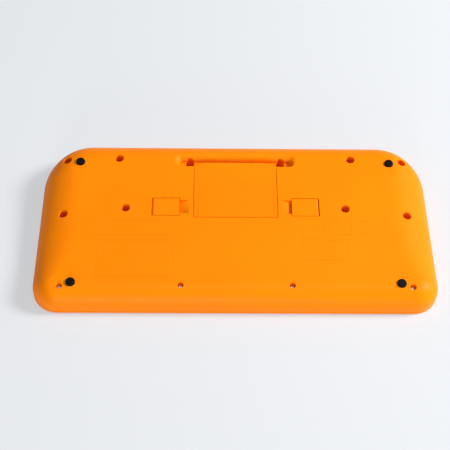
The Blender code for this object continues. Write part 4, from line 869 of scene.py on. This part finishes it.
def make_pads():
    """Round rubber pads with a soft edge and a slightly hollow top."""
    radius, edge = FOOT_DIAMETER / 2, 0.9 * MM
    profile = [(0, FOOT_PROUD - 0.12 * MM), (radius * 0.45, FOOT_PROUD - 0.08 * MM),
               (radius * 0.68, FOOT_PROUD)]
    for step in range(1, 7):
        turn = step / 6 * math.pi / 2
        profile.append((radius - edge + edge * math.sin(turn), FOOT_PROUD - edge + edge * math.cos(turn)))
    profile += [(radius, GAP - FOOT_SEAT), (0, GAP - FOOT_SEAT)]
    for side, x_label in SIDES:
        for v, y_label in zip(FOOT_VS, ("front", "rear")):
            place = DECK @ Matrix.Translation((side * FOOT_X, v, 0))
            pad = turned(f"rubber_pad_{y_label}_{x_label}", profile, 40, place)
            shade(pad)
            finish(pad, "body", PAD_RUBBER, "black_rubber", f"rubber_foot_{y_label}_{x_label}")


def screw_template(head_diameter):
    """Pan-head screw with a cross recess; the underside of its head is at z = 0."""
    head, shank = head_diameter / 2, SHANK / 2
    profile = [(0, HEAD_HEIGHT)]
    for step in range(6):
        turn = step / 5 * math.pi / 2
        profile.append((head * (0.55 + 0.45 * math.sin(turn)), HEAD_HEIGHT * (0.4 + 0.6 * math.cos(turn))))
    profile += [(head, 0), (shank, 0), (shank, -SHANK_LENGTH * 0.85), (0, -SHANK_LENGTH)]
    screw = turned("screw_template", profile, 28, Matrix())
    reach, slot, deep = head * 0.56, head * 0.11, HEAD_HEIGHT * 0.35
    rings = [[(sx * reach * share, sy * slot, w) for sx, sy in CORNER_SIGNS]
             for w, share in ((deep, 0.45), (HEAD_HEIGHT + OVERRUN, 1.35))]
    cross, other = [skinned("cross_slot", [rings], Matrix.Rotation(turn, 4, "Z"))
                    for turn in (0, math.pi / 2)]
    combine(cross, other, "UNION")
    combine(screw, cross)
    screw.data.shade_smooth()
    screw.data.set_sharp_from_angle(angle=35 * DEG)
    return screw


def repeat_tree(name, template, material):
    """Node tree that puts a template on every point, each turned about Z by its own seeded angle."""
    tree = bpy.data.node_groups.new(name, "GeometryNodeTree")
    tree.interface.new_socket("Points", in_out="INPUT", socket_type="NodeSocketGeometry")
    size = tree.interface.new_socket("Size", in_out="INPUT", socket_type="NodeSocketFloat")
    seed = tree.interface.new_socket("Seed", in_out="INPUT", socket_type="NodeSocketInt")
    tree.interface.new_socket("Geometry", in_out="OUTPUT", socket_type="NodeSocketGeometry")
    start, end, shape, turn, angle, put, real, paint = [tree.nodes.new(kind) for kind in (
        "NodeGroupInput", "NodeGroupOutput", "GeometryNodeObjectInfo", "FunctionNodeRandomValue",
        "ShaderNodeCombineXYZ", "GeometryNodeInstanceOnPoints", "GeometryNodeRealizeInstances",
        "GeometryNodeSetMaterial")]
    shape.inputs["Object"].default_value = template
    turn.inputs["Max"].default_value = 2 * math.pi
    paint.inputs["Material"].default_value = material
    connect(tree.links, (start, "Seed", turn, "Seed"), (turn, "Value", angle, "Z"),
            (start, "Points", put, "Points"), (shape, "Geometry", put, "Instance"),
            (angle, "Vector", put, "Rotation"), (start, "Size", put, "Scale"),
            (put, "Instances", real, "Geometry"), (real, "Geometry", paint, "Geometry"),
            (paint, "Geometry", end, "Geometry"))
    return tree, size.identifier, seed.identifier


def repeated(name, template, places, material, seed):
    """One mesh of a template repeated at every place."""
    tree, size_id, seed_id = repeat_tree(f"{name}_tree", template, material)
    mesh = bpy.data.meshes.new(name)
    mesh.from_pydata(places, [], [])
    piece = bpy.data.objects.new(name, mesh)
    bpy.context.scene.collection.objects.link(piece)
    modifier = piece.modifiers.new("repeat", "NODES")
    modifier.node_group = tree
    modifier[size_id] = 1.0
    modifier[seed_id] = seed
    settle(piece)
    clear_away(template)
    return piece


def make_screws():
    for name, bore, prefix in (("long_screws", DEEP_BORE, "case_screw_long"),
                               ("short_screws", SHALLOW_BORE, "case_screw_short")):
        places = [(x, y, seat + GAP) for x, y, width, seat in wells() if width == bore]
        template = screw_template(bore - 2 * HEAD_CLEARANCE)
        piece = repeated(name, template, places, SCREW_STEEL_PAINTED_GLINT, 7)
        nodes = [f"{prefix}_{number:02d}" for number in range(1, len(places) + 1)]
        finish(piece, "body", SCREW_STEEL_PAINTED_GLINT, "plated_steel", *nodes)


# ---------------------------------------------------------------- face shell

def opening_rings(width, depth, radius, centre, soft=0.4 * MM):
    """Rings of an opening through the face panel, with a rounded edge outside."""
    growths = [(soft, PANEL_RECESS - OVERRUN)]
    growths += [(grow, PANEL_RECESS + rise) for grow, rise in quarter_round(soft, 3)]
    growths.append((0, PANEL_TOP + OVERRUN))
    return [rounded_ring(width + 2 * grow, depth + 2 * grow, radius + grow, height, centre)
            for grow, height in growths]


def key_places():
    return [((column - 2) * KEY_PITCH, y) for y in KEY_ROWS for column in range(5)]


def round_key_places():
    return [(side * ROUND_KEY_X, ROUND_KEY_Y) for side in (-1, 1)]


def add_face_posts(shell):
    """Posts that the screws run into, seats for both boards and the ring round the speaker."""
    root = (PANEL_RECESS + PANEL_TOP) / 2
    posts = [(SHANK / 2 + GAP + POST_WALL, (x, y, root), (x, y, seat - WELL_FLOOR - GAP))
             for x, y, _, seat in wells()]
    posts += [(STANDOFF / 2, (x, y, root), (x, y, top)) for x, y, top in pilot_places()]
    combine(shell, rods("posts", posts, ROD_STEPS), "UNION")
    inner = SPEAKER / 2 + SLIDE_GAP
    outer, top = inner + 1.6 * MM, PANEL_TOP + 3.0 * MM
    section = ((inner, top), (outer, top), (outer, root), (inner, root), (inner, top))
    ring = turned("speaker_ring", section, 64, Matrix.Translation((SPEAKER_X, SPEAKER_Y, 0)))
    combine(shell, ring, "UNION")
    holes = [(SHANK / 2 + GAP, (x, y, seat - SHANK_LENGTH - GAP), (x, y, seat)) for x, y, _, seat in wells()]
    holes += [(BOARD_SHANK / 2 + GAP, (x, y, top - BOARD_SCREW_LENGTH), (x, y, top + OVERRUN))
              for x, y, top in pilot_places()]
    combine(shell, rods("pilot_holes", holes, 16))


def pilot_places():
    """Every board standoff: x, y and height of its top."""
    places = [(side * (BOARD_HALF - STANDOFF_INSET), y, BOARD_UNDER - GAP) for side in (-1, 1)
              for y in (BOARD_FRONT + STANDOFF_INSET, BOARD_REAR - STANDOFF_INSET)]
    return places + [(SWITCH_X, SWITCH_Y + side * SWITCH_STANDOFF, SWITCH_BOARD_UNDER - GAP)
                     for side in (-1, 1)]


def make_front_shell():
    rings = [flat_ring(inset, rise) for inset, rise in quarter_round(FACE_EDGE, 5)]
    rings += [flat_ring(0, SEAM), flat_ring(LIP_INSET, SEAM), flat_ring(LIP_INSET, LIP_TOP)]
    shell = skinned("face_shell_moulding", [rings])
    hollow = [flat_ring(LIP_INSET + LIP_WALL, height) for height in (PANEL_TOP, LIP_TOP + OVERRUN)]
    combine(shell, skinned("face_hollow", [hollow]))
    rings = [flat_ring(RIM_WIDTH - RIM_SOFT, -OVERRUN)]
    rings += [flat_ring(RIM_WIDTH - inset, rise) for inset, rise in quarter_round(RIM_SOFT, 4)]
    rings.append(flat_ring(RIM_WIDTH, PANEL_RECESS))
    combine(shell, skinned("face_recess", [rings]))
    add_face_posts(shell)

    openings = [opening_rings(KEY_WIDTH + 2 * SLIDE_GAP, KEY_DEPTH + 2 * SLIDE_GAP,
                              KEY_CORNER + SLIDE_GAP, place) for place in key_places()]
    size = ROUND_KEY + 2 * SLIDE_GAP
    openings += [opening_rings(size, size, size * NEAR_HALF, place) for place in round_key_places()]
    length = KNOB_LENGTH + SWITCH_TRAVEL + 2 * SLIDE_GAP
    openings.append(opening_rings(length, KNOB_WIDTH + 2 * SLIDE_GAP, 0.8 * MM, (SWITCH_X, SWITCH_Y)))
    for slot in range(GRILLE_SLOTS):
        offset = (slot - (GRILLE_SLOTS - 1) / 2) * GRILLE_PITCH
        reach = math.sqrt((SPEAKER / 2 - GRILLE_PITCH) ** 2 - offset ** 2)
        openings.append(opening_rings(2 * reach, GRILLE_SLOT, GRILLE_SLOT * NEAR_HALF,
                                      (SPEAKER_X, SPEAKER_Y + offset), 0.3 * MM))
    combine(shell, skinned("face_openings", openings))

    for name, grow, corner, heights in (
            ("window_opening", -2 * WINDOW_LEDGE, KEY_CORNER, (PANEL_RECESS, PANEL_TOP + OVERRUN)),
            ("window_seat", 2 * GAP, KEY_CORNER + GAP,
             (PANEL_RECESS - OVERRUN, PANEL_RECESS + WINDOW_THICKNESS + 2 * GAP))):
        rings = [rounded_ring(WINDOW_WIDTH + grow, WINDOW_DEPTH + grow, corner, height, (0, WINDOW_Y))
                 for height in heights]
        combine(shell, skinned(name, [rings]))
    shade(shell, 40)
    return finish(shell, "body", FACE_ORANGE, "orange_face", "front_shell")


# ---------------------------------------------------------------- keys, knob and window

def polar(reach, angle):
    """Point at a reach and an angle in degrees."""
    return reach * math.cos(angle * DEG), reach * math.sin(angle * DEG)


def regular(corners, size, turn=90):
    return [polar(size, turn + 360 * i / corners) for i in range(corners)]


def star(corners, size, inner):
    return [polar(inner if i % 2 else size, 90 + 180 * i / corners) for i in range(2 * corners)]


def heart(size):
    points = []
    for i in range(40):
        t = 2 * math.pi * i / 40
        x = 16 * math.sin(t) ** 3
        y = 13 * math.cos(t) - 5 * math.cos(2 * t) - 2 * math.cos(3 * t) - math.cos(4 * t)
        points.append((-x * size / 16, (y + 2) * size / 16))
    return points


def moon(size):
    inner = [(size * (0.45 + 0.85 * math.cos(a * DEG)), size * 0.85 * math.sin(a * DEG))
             for a in range(270, 89, -12)]
    return [polar(size, a) for a in range(58, 303, 12)] + inner


def drop(size):
    round_end = [(size * 0.72 * math.cos(a * DEG), size * (0.72 * math.sin(a * DEG) - 0.3))
                 for a in range(155, 386, 10)]
    return [(0, size * 1.2)] + round_end


def plus(s, a):
    """Plus sign of half size s with arms of half width a."""
    return [(a, s), (-a, s), (-a, a), (-s, a), (-s, -a), (-a, -a),
            (-a, -s), (a, -s), (a, -a), (s, -a), (s, a), (a, a)]


KEY_ORDER = ("red", "yellow", "green", "blue")
KEY_SHAPES = (
    regular(32, 4.6 * MM), regular(4, 5.8 * MM, 45), regular(3, 6.0 * MM), star(5, 6.0 * MM, 2.6 * MM),
    heart(5.2 * MM), moon(5.4 * MM), regular(4, 6.0 * MM), plus(5.2 * MM, 1.9 * MM), regular(6, 5.4 * MM),
    drop(4.6 * MM),
)


def make_picture_keys():
    """Caps with rounded edges and a raised plain shape, flanges behind the panel and low plungers."""
    wide, deep = KEY_WIDTH, KEY_DEPTH
    grow = 2 * KEY_FLANGE
    insets = [(5.0 * MM, KEY_SUNK - KEY_DOME), (2.6 * MM, KEY_SUNK - KEY_DOME / 2)]
    insets += [(inset, KEY_SUNK + rise) for inset, rise in quarter_round(KEY_SOFT, 4)]
    rings = [rounded_ring(wide - 2 * inset, deep - 2 * inset, max(KEY_CORNER - inset, 0.8 * MM), height)
             for inset, height in insets]
    rings.append(rounded_ring(wide, deep, KEY_CORNER, FLANGE_UNDER))
    rings += [rounded_ring(wide + grow, deep + grow, KEY_CORNER, height)
              for height in (FLANGE_UNDER, FLANGE_TOP)]
    rings += [rounded_ring(PLUNGER, PLUNGER, PLUNGER * NEAR_HALF, height)
              for height in (FLANGE_TOP, PLUNGER_TOP)]
    raised = ((0.93, KEY_SHAPE_TOP), (1.0, KEY_SHAPE_TOP + 0.15 * MM), (1.0, KEY_SUNK + 0.4 * MM))
    for number, ((x, y), shape) in enumerate(zip(key_places(), KEY_SHAPES)):
        place = Matrix.Translation((x, y, 0))
        key = skinned(f"key_cap_{number + 1:02d}", [rings], place)
        relief = [[(px * share, py * share, height) for px, py in shape] for share, height in raised]
        combine(key, skinned("raised_shape", [relief], place), "UNION")
        shade(key, 35)
        row, column = divmod(number, 5)
        colour = KEY_ORDER[(column + 2 * row) % 4]
        node = f"picture_key_{number + 1:02d}"
        finish(key, node, KEY_PLASTICS[colour], f"key_{colour}", node)


def make_round_keys():
    radius = ROUND_KEY / 2
    profile = [(0, PLUNGER_TOP), (PLUNGER / 2, PLUNGER_TOP), (PLUNGER / 2, FLANGE_TOP),
               (radius + KEY_FLANGE, FLANGE_TOP), (radius + KEY_FLANGE, FLANGE_UNDER), (radius, FLANGE_UNDER)]
    profile += [(radius - inset, KEY_SUNK + rise) for inset, rise in reversed(quarter_round(KEY_SOFT, 4))]
    profile += [(radius * 0.62, KEY_SUNK - 0.05 * MM), (radius * 0.5, KEY_SUNK + 0.25 * MM),
                (0, KEY_SUNK + 0.35 * MM)]
    for (x, y), label, colour in zip(round_key_places(), ("left", "right"), ("green", "red")):
        key = turned(f"round_key_cap_{label}", profile, 64, Matrix.Translation((x, y, 0)))
        shade(key, 35)
        finish(key, f"round_key_{label}", KEY_PLASTICS[colour], f"key_{colour}", f"round_key_{label}")


def make_knob():
    """Sliding knob with three grip ridges, in the off position."""
    length, width, corner = KNOB_LENGTH, KNOB_WIDTH, 1.2 * MM
    flange = (length + 7.0 * MM, width + 3.5 * MM, corner)
    rings = [rounded_ring(length - 2 * inset, width - 2 * inset, corner - inset, KEY_SUNK + rise)
             for inset, rise in quarter_round(KNOB_SOFT, 3)]
    rings += [rounded_ring(length, width, corner, FLANGE_UNDER), rounded_ring(*flange, FLANGE_UNDER),
              rounded_ring(*flange, FLANGE_UNDER + 0.9 * MM)]
    place = Matrix.Translation((SWITCH_X - SWITCH_TRAVEL / 2, SWITCH_Y, 0))
    knob = skinned("ridged_switch_knob", [rings], place)
    ridges = []
    for offset in (-2.2 * MM, 0, 2.2 * MM):
        section = ((offset - 0.55 * MM, KEY_SUNK + 0.2 * MM), (offset - 0.2 * MM, KEY_SUNK - 0.45 * MM),
                   (offset + 0.2 * MM, KEY_SUNK - 0.45 * MM), (offset + 0.55 * MM, KEY_SUNK + 0.2 * MM))
        ends = (-width / 2 + 0.9 * MM, width / 2 - 0.9 * MM)
        ridges.append([[(x, y, z) for x, z in section] for y in ends])
    combine(knob, skinned("grip_ridges", ridges, place, outward=True), "UNION")
    shade(knob, 35)
    finish(knob, "switch_knob", KNOB_WHITE, "knob_white", "switch_knob")


def make_window():
    low, bevel = PANEL_RECESS + GAP, 0.25 * MM
    rings = [rounded_ring(WINDOW_WIDTH - 2 * inset, WINDOW_DEPTH - 2 * inset, KEY_CORNER - inset, height,
                          (0, WINDOW_Y))
             for inset, height in ((bevel, low), (0, low + bevel), (0, low + WINDOW_THICKNESS))]
    window = skinned("bevelled_window", [rings])
    shade(window, 30)
    finish(window, "body", WINDOW_SMOKE, "smoked_window", "display_window")


# ---------------------------------------------------------------- inner pieces

def cell_rows():
    """Each cell's place across the bay and the way its plus end points."""
    return [(BAY_CENTRE + CELL_PITCH * (row - 1), 1 if row % 2 == 0 else -1) for row in range(3)]


def make_cells():
    """Round cells with rounded shoulders and a waist near the plus end."""
    radius, nub, nub_length = CELL_DIAMETER / 2, 2.75 * MM, 1.3 * MM
    shoulder = quarter_round(0.8 * MM, 5)
    waist = radius - 0.15 * MM
    profile = [(0, 0), (nub - 0.4 * MM, 0), (nub, -0.35 * MM), (nub, -nub_length)]
    profile += [(radius - inset, -nub_length - rise) for inset, rise in shoulder]
    profile += [(radius, -nub_length - 4.0 * MM), (waist, -nub_length - 4.2 * MM),
                (waist, -nub_length - 4.8 * MM), (radius, -nub_length - 5.0 * MM)]
    profile += [(radius - inset, -CELL_LENGTH + rise) for inset, rise in reversed(shoulder)]
    profile += [(radius * 0.6, -CELL_LENGTH), (radius * 0.55, 0.25 * MM - CELL_LENGTH),
                (0, 0.25 * MM - CELL_LENGTH)]
    plus_x = BAY_HALF_LENGTH - 2 * GAP - CONTACT
    for number, (v, way) in enumerate(cell_rows(), start=1):
        turn = Matrix.Rotation(way * math.pi / 2, 4, "Y")
        place = DECK @ Matrix.Translation((way * plus_x, v, CELL_W)) @ turn
        cell = turned(f"round_cell_{number}", profile, 48, place)
        shade(cell, 35)
        finish(cell, "body", CELL_FILM, "cell_jacket", f"cell_{number}")


def tube_rings(points, radius, steps=10):
    """Rings round a path of points, each square to it."""
    rings = []
    for i, point in enumerate(points):
        along = (points[min(i + 1, len(points) - 1)] - points[max(i - 1, 0)]).normalized()
        aside = along.cross(Vector((1, 0, 0))).normalized()
        up = along.cross(aside)
        turns = [2 * math.pi * k / steps for k in range(steps)]
        rings.append([point + radius * (aside * math.cos(turn) + up * math.sin(turn)) for turn in turns])
    return rings


def make_springs():
    """Tapered wire springs at the cells' minus ends."""
    start = BAY_HALF_LENGTH - 2 * GAP - CONTACT - SPRING_WIRE / 2
    count = SPRING_TURNS * 24
    coils = []
    for v, way in cell_rows():
        points = []
        for i in range(count + 1):
            t = i / count
            angle = t * SPRING_TURNS * 2 * math.pi
            radius = SPRING_WIDE + (SPRING_NARROW - SPRING_WIDE) * t
            x = -way * (start - smooth(t) * SPRING_LENGTH)
            points.append(Vector((x, v + radius * math.cos(angle), CELL_W + way * radius * math.sin(angle))))
        coils.append(tube_rings(points, SPRING_WIRE / 2))
    springs = skinned("wire_springs", coils, DECK, outward=True)
    springs.data.shade_smooth()
    nodes = [f"battery_spring_{number}" for number in (1, 2, 3)]
    finish(springs, "body", SPRING_STEEL, "spring_steel", *nodes)


def make_contacts():
    """Pressed plates that link the cells in a row."""
    plate_x, half = BAY_HALF_LENGTH - GAP - CONTACT, 4.5 * MM
    rows = [v for v, _ in cell_rows()]
    for label, side, first, last in (("left_link", -1, 0, 1), ("left_end", -1, 2, 2),
                                     ("right_end", 1, 0, 0), ("right_link", 1, 1, 2)):
        width = rows[last] - rows[first] + 2 * half
        middle = (rows[first] + rows[last]) / 2
        rings = [[(x, middle + a, CELL_W + b) for a, b, _ in rounded_ring(width, 2 * half, 1.0 * MM, 0)]
                 for x in sorted((side * plate_x, side * (plate_x + CONTACT)))]
        plate = skinned(f"contact_plate_{label}", [rings], DECK, outward=True)
        soften(plate, 0.08 * MM, 2)
        shade(plate, 30)
        finish(plate, "body", NICKEL, "nickel_contact", f"battery_contact_{label}")


def make_pins():
    reach = (POCKET_FAR - POCKET_NEAR) / 2 + PIN_HOLD
    radius, bevel = PIN_DIAMETER / 2, 0.2 * MM
    profile = ((0, reach), (radius - bevel, reach), (radius, reach - bevel), (radius, bevel - reach),
               (radius - bevel, -reach), (0, -reach))
    for side, label in SIDES:
        place = Matrix.Translation((side * PIN_X, POCKET_V, PIN_W)) @ Matrix.Rotation(math.pi / 2, 4, "X")
        pin = turned(f"drawn_pin_{label}", profile, 32, DECK @ place)
        shade(pin, 35)
        finish(pin, "body", PIN_STEEL, "pin_steel", f"tilt_foot_pin_{label}")


def make_speaker():
    """Pressed basket, ribbed paper cone and magnet, facing the grille."""
    low = PANEL_TOP + GAP
    rim, base, sheet, top = SPEAKER / 2, SPEAKER_BASE / 2, 1.0 * MM, low + SPEAKER_HEIGHT
    flat = rim - 1.5 * MM
    basket = ((0, top), (base, top), (rim, low + sheet), (rim, low), (flat, low), (flat, low + 2 * GAP),
              (base - sheet, top - sheet), (0, top - sheet))
    edge, dust, peak = flat - 2 * GAP, base * 0.4, low + SPEAKER_HEIGHT * 0.45
    upper, lower = [(0, peak), (dust, peak)], [(0, peak - 2 * GAP), (dust, peak - 2 * GAP)]
    ribs = 12
    for i in range(1, ribs):
        t = i / ribs
        radius, height = dust + (edge - dust) * t, peak + (low + 2 * GAP - peak) * t
        wave = 0.06 * MM * math.sin(i * math.pi / 2)
        upper.append((radius, height + wave))
        lower.append((radius, height + wave - 2 * GAP + GAP * t))
    cone = upper + [(edge, low + 2 * GAP), (edge, low + GAP)] + lower[::-1]
    magnet_low, magnet_top = top + GAP, top + GAP + MAGNET_HEIGHT
    radius, bevel = MAGNET / 2, 0.5 * MM
    magnet = ((0, magnet_top), (radius - bevel, magnet_top), (radius, magnet_top - bevel),
              (radius, magnet_low + bevel), (radius - bevel, magnet_low), (0, magnet_low))
    for name, profile, material, slot, node in (
            ("pressed_basket", basket, BASKET_STEEL, "basket_steel", "speaker_basket"),
            ("ribbed_cone", cone, CONE_PAPER, "cone_paper", "speaker_cone"),
            ("ground_magnet", magnet, MAGNET_FERRITE, "magnet_ferrite", "speaker_magnet")):
        piece = turned(name, profile, 72, Matrix.Translation((SPEAKER_X, SPEAKER_Y, 0)))
        shade(piece, 35)
        finish(piece, "body", material, slot, node)


make_back_shell()
make_cover()
make_tilt_feet()
make_pads()
make_screws()
make_front_shell()
make_picture_keys()
make_round_keys()
make_knob()
make_window()
make_cells()
make_springs()
make_contacts()
make_pins()
make_speaker()

# ---------------------------------------------------------------- finishes of the part's own nodes

FINISHES = {
    "main_board": BOARD_GREEN, "switch_board": BOARD_GREEN, "controller_chip": CHIP_BLACK,
    "key_mat": MAT_RUBBER,
    "display_module": DISPLAY_GREY, "switch_body": SWITCH_BLACK, "power_wire_red": RED_SLEEVE,
    "power_wire_black": BLACK_SLEEVE,
}
for node_name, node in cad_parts.items():
    for prefix, material in FINISHES.items():
        if node_name.startswith(prefix):
            node.data.materials.clear()
            node.data.materials.append(material)

# ---------------------------------------------------------------- studio

def make_stage():
    """Wide pale floor; part of its colour is added for the camera alone."""
    material, nodes, links, shader = new_material("pale_paper")
    shader.inputs["Base Color"].default_value = (0.88, 0.88, 0.88, 1)
    shader.inputs["Roughness"].default_value = 0.9
    glow = add_node(nodes, "ShaderNodeEmission", Color=(0.70, 0.73, 0.77, 1))
    share = nodes.new("ShaderNodeMath")
    share.operation = "MULTIPLY"
    share.inputs[1].default_value = 0.6
    blend = nodes.new("ShaderNodeMixShader")
    connect(links, (nodes.new("ShaderNodeLightPath"), "Is Camera Ray", share, 0),
            (share, "Value", blend, "Fac"), (shader, "BSDF", blend, 1), (glow, "Emission", blend, 2),
            (blend, "Shader", nodes["Material Output"], "Surface"))
    bm = bmesh.new()
    bmesh.ops.create_grid(bm, x_segments=2, y_segments=2, size=15.0)
    floor = make_object("studio_floor", bm)
    floor.data.materials.append(material)


def add_lamp(name, place, size, power):
    """Round soft lamp aimed at the toy."""
    lamp = bpy.data.lights.new(name, "AREA")
    lamp.shape = "DISK"
    lamp.size = size
    lamp.energy = power
    holder = bpy.data.objects.new(name, lamp)
    holder.location = place
    holder.rotation_euler = (Vector() - Vector(place)).to_track_quat("-Z", "Y").to_euler()
    bpy.context.scene.collection.objects.link(holder)


def make_camera():
    camera = bpy.data.cameras.new("camera")
    camera.lens = 80
    camera.sensor_width = 36
    camera.clip_start = 0.05
    camera.clip_end = 20
    holder = bpy.data.objects.new("camera", camera)
    holder.location = (-0.026197, -0.544666, 0.763476)
    holder.rotation_euler = (35.9954 * DEG, -1.0221 * DEG, -0.3515 * DEG)
    bpy.context.scene.collection.objects.link(holder)
    bpy.context.scene.camera = holder


make_stage()
add_lamp("right_soft_box", (1.72, 0.18, 1.35), 0.7, 58)
add_lamp("front_soft_box", (-0.2, -2.1, 0.5), 0.8, 18)
add_lamp("overhead_soft_box", (0.0, 0.0, 2.2), 1.2, 6)
world = bpy.data.worlds.new("studio_world")
world.use_nodes = True
sky_nodes, sky_links = world.node_tree.nodes, world.node_tree.links
sky_nodes["Background"].inputs["Color"].default_value = (0.90, 0.95, 1.0, 1)
level = sky_nodes.new("ShaderNodeMath")
level.operation = "MULTIPLY_ADD"
level.inputs[1].default_value = 0.55
level.inputs[2].default_value = 0.30
connect(sky_links, (sky_nodes.new("ShaderNodeLightPath"), "Is Camera Ray", level, 0),
        (level, "Value", sky_nodes["Background"], "Strength"))
bpy.context.scene.world = world
make_camera()
bpy.context.scene.view_settings.view_transform = "Standard"
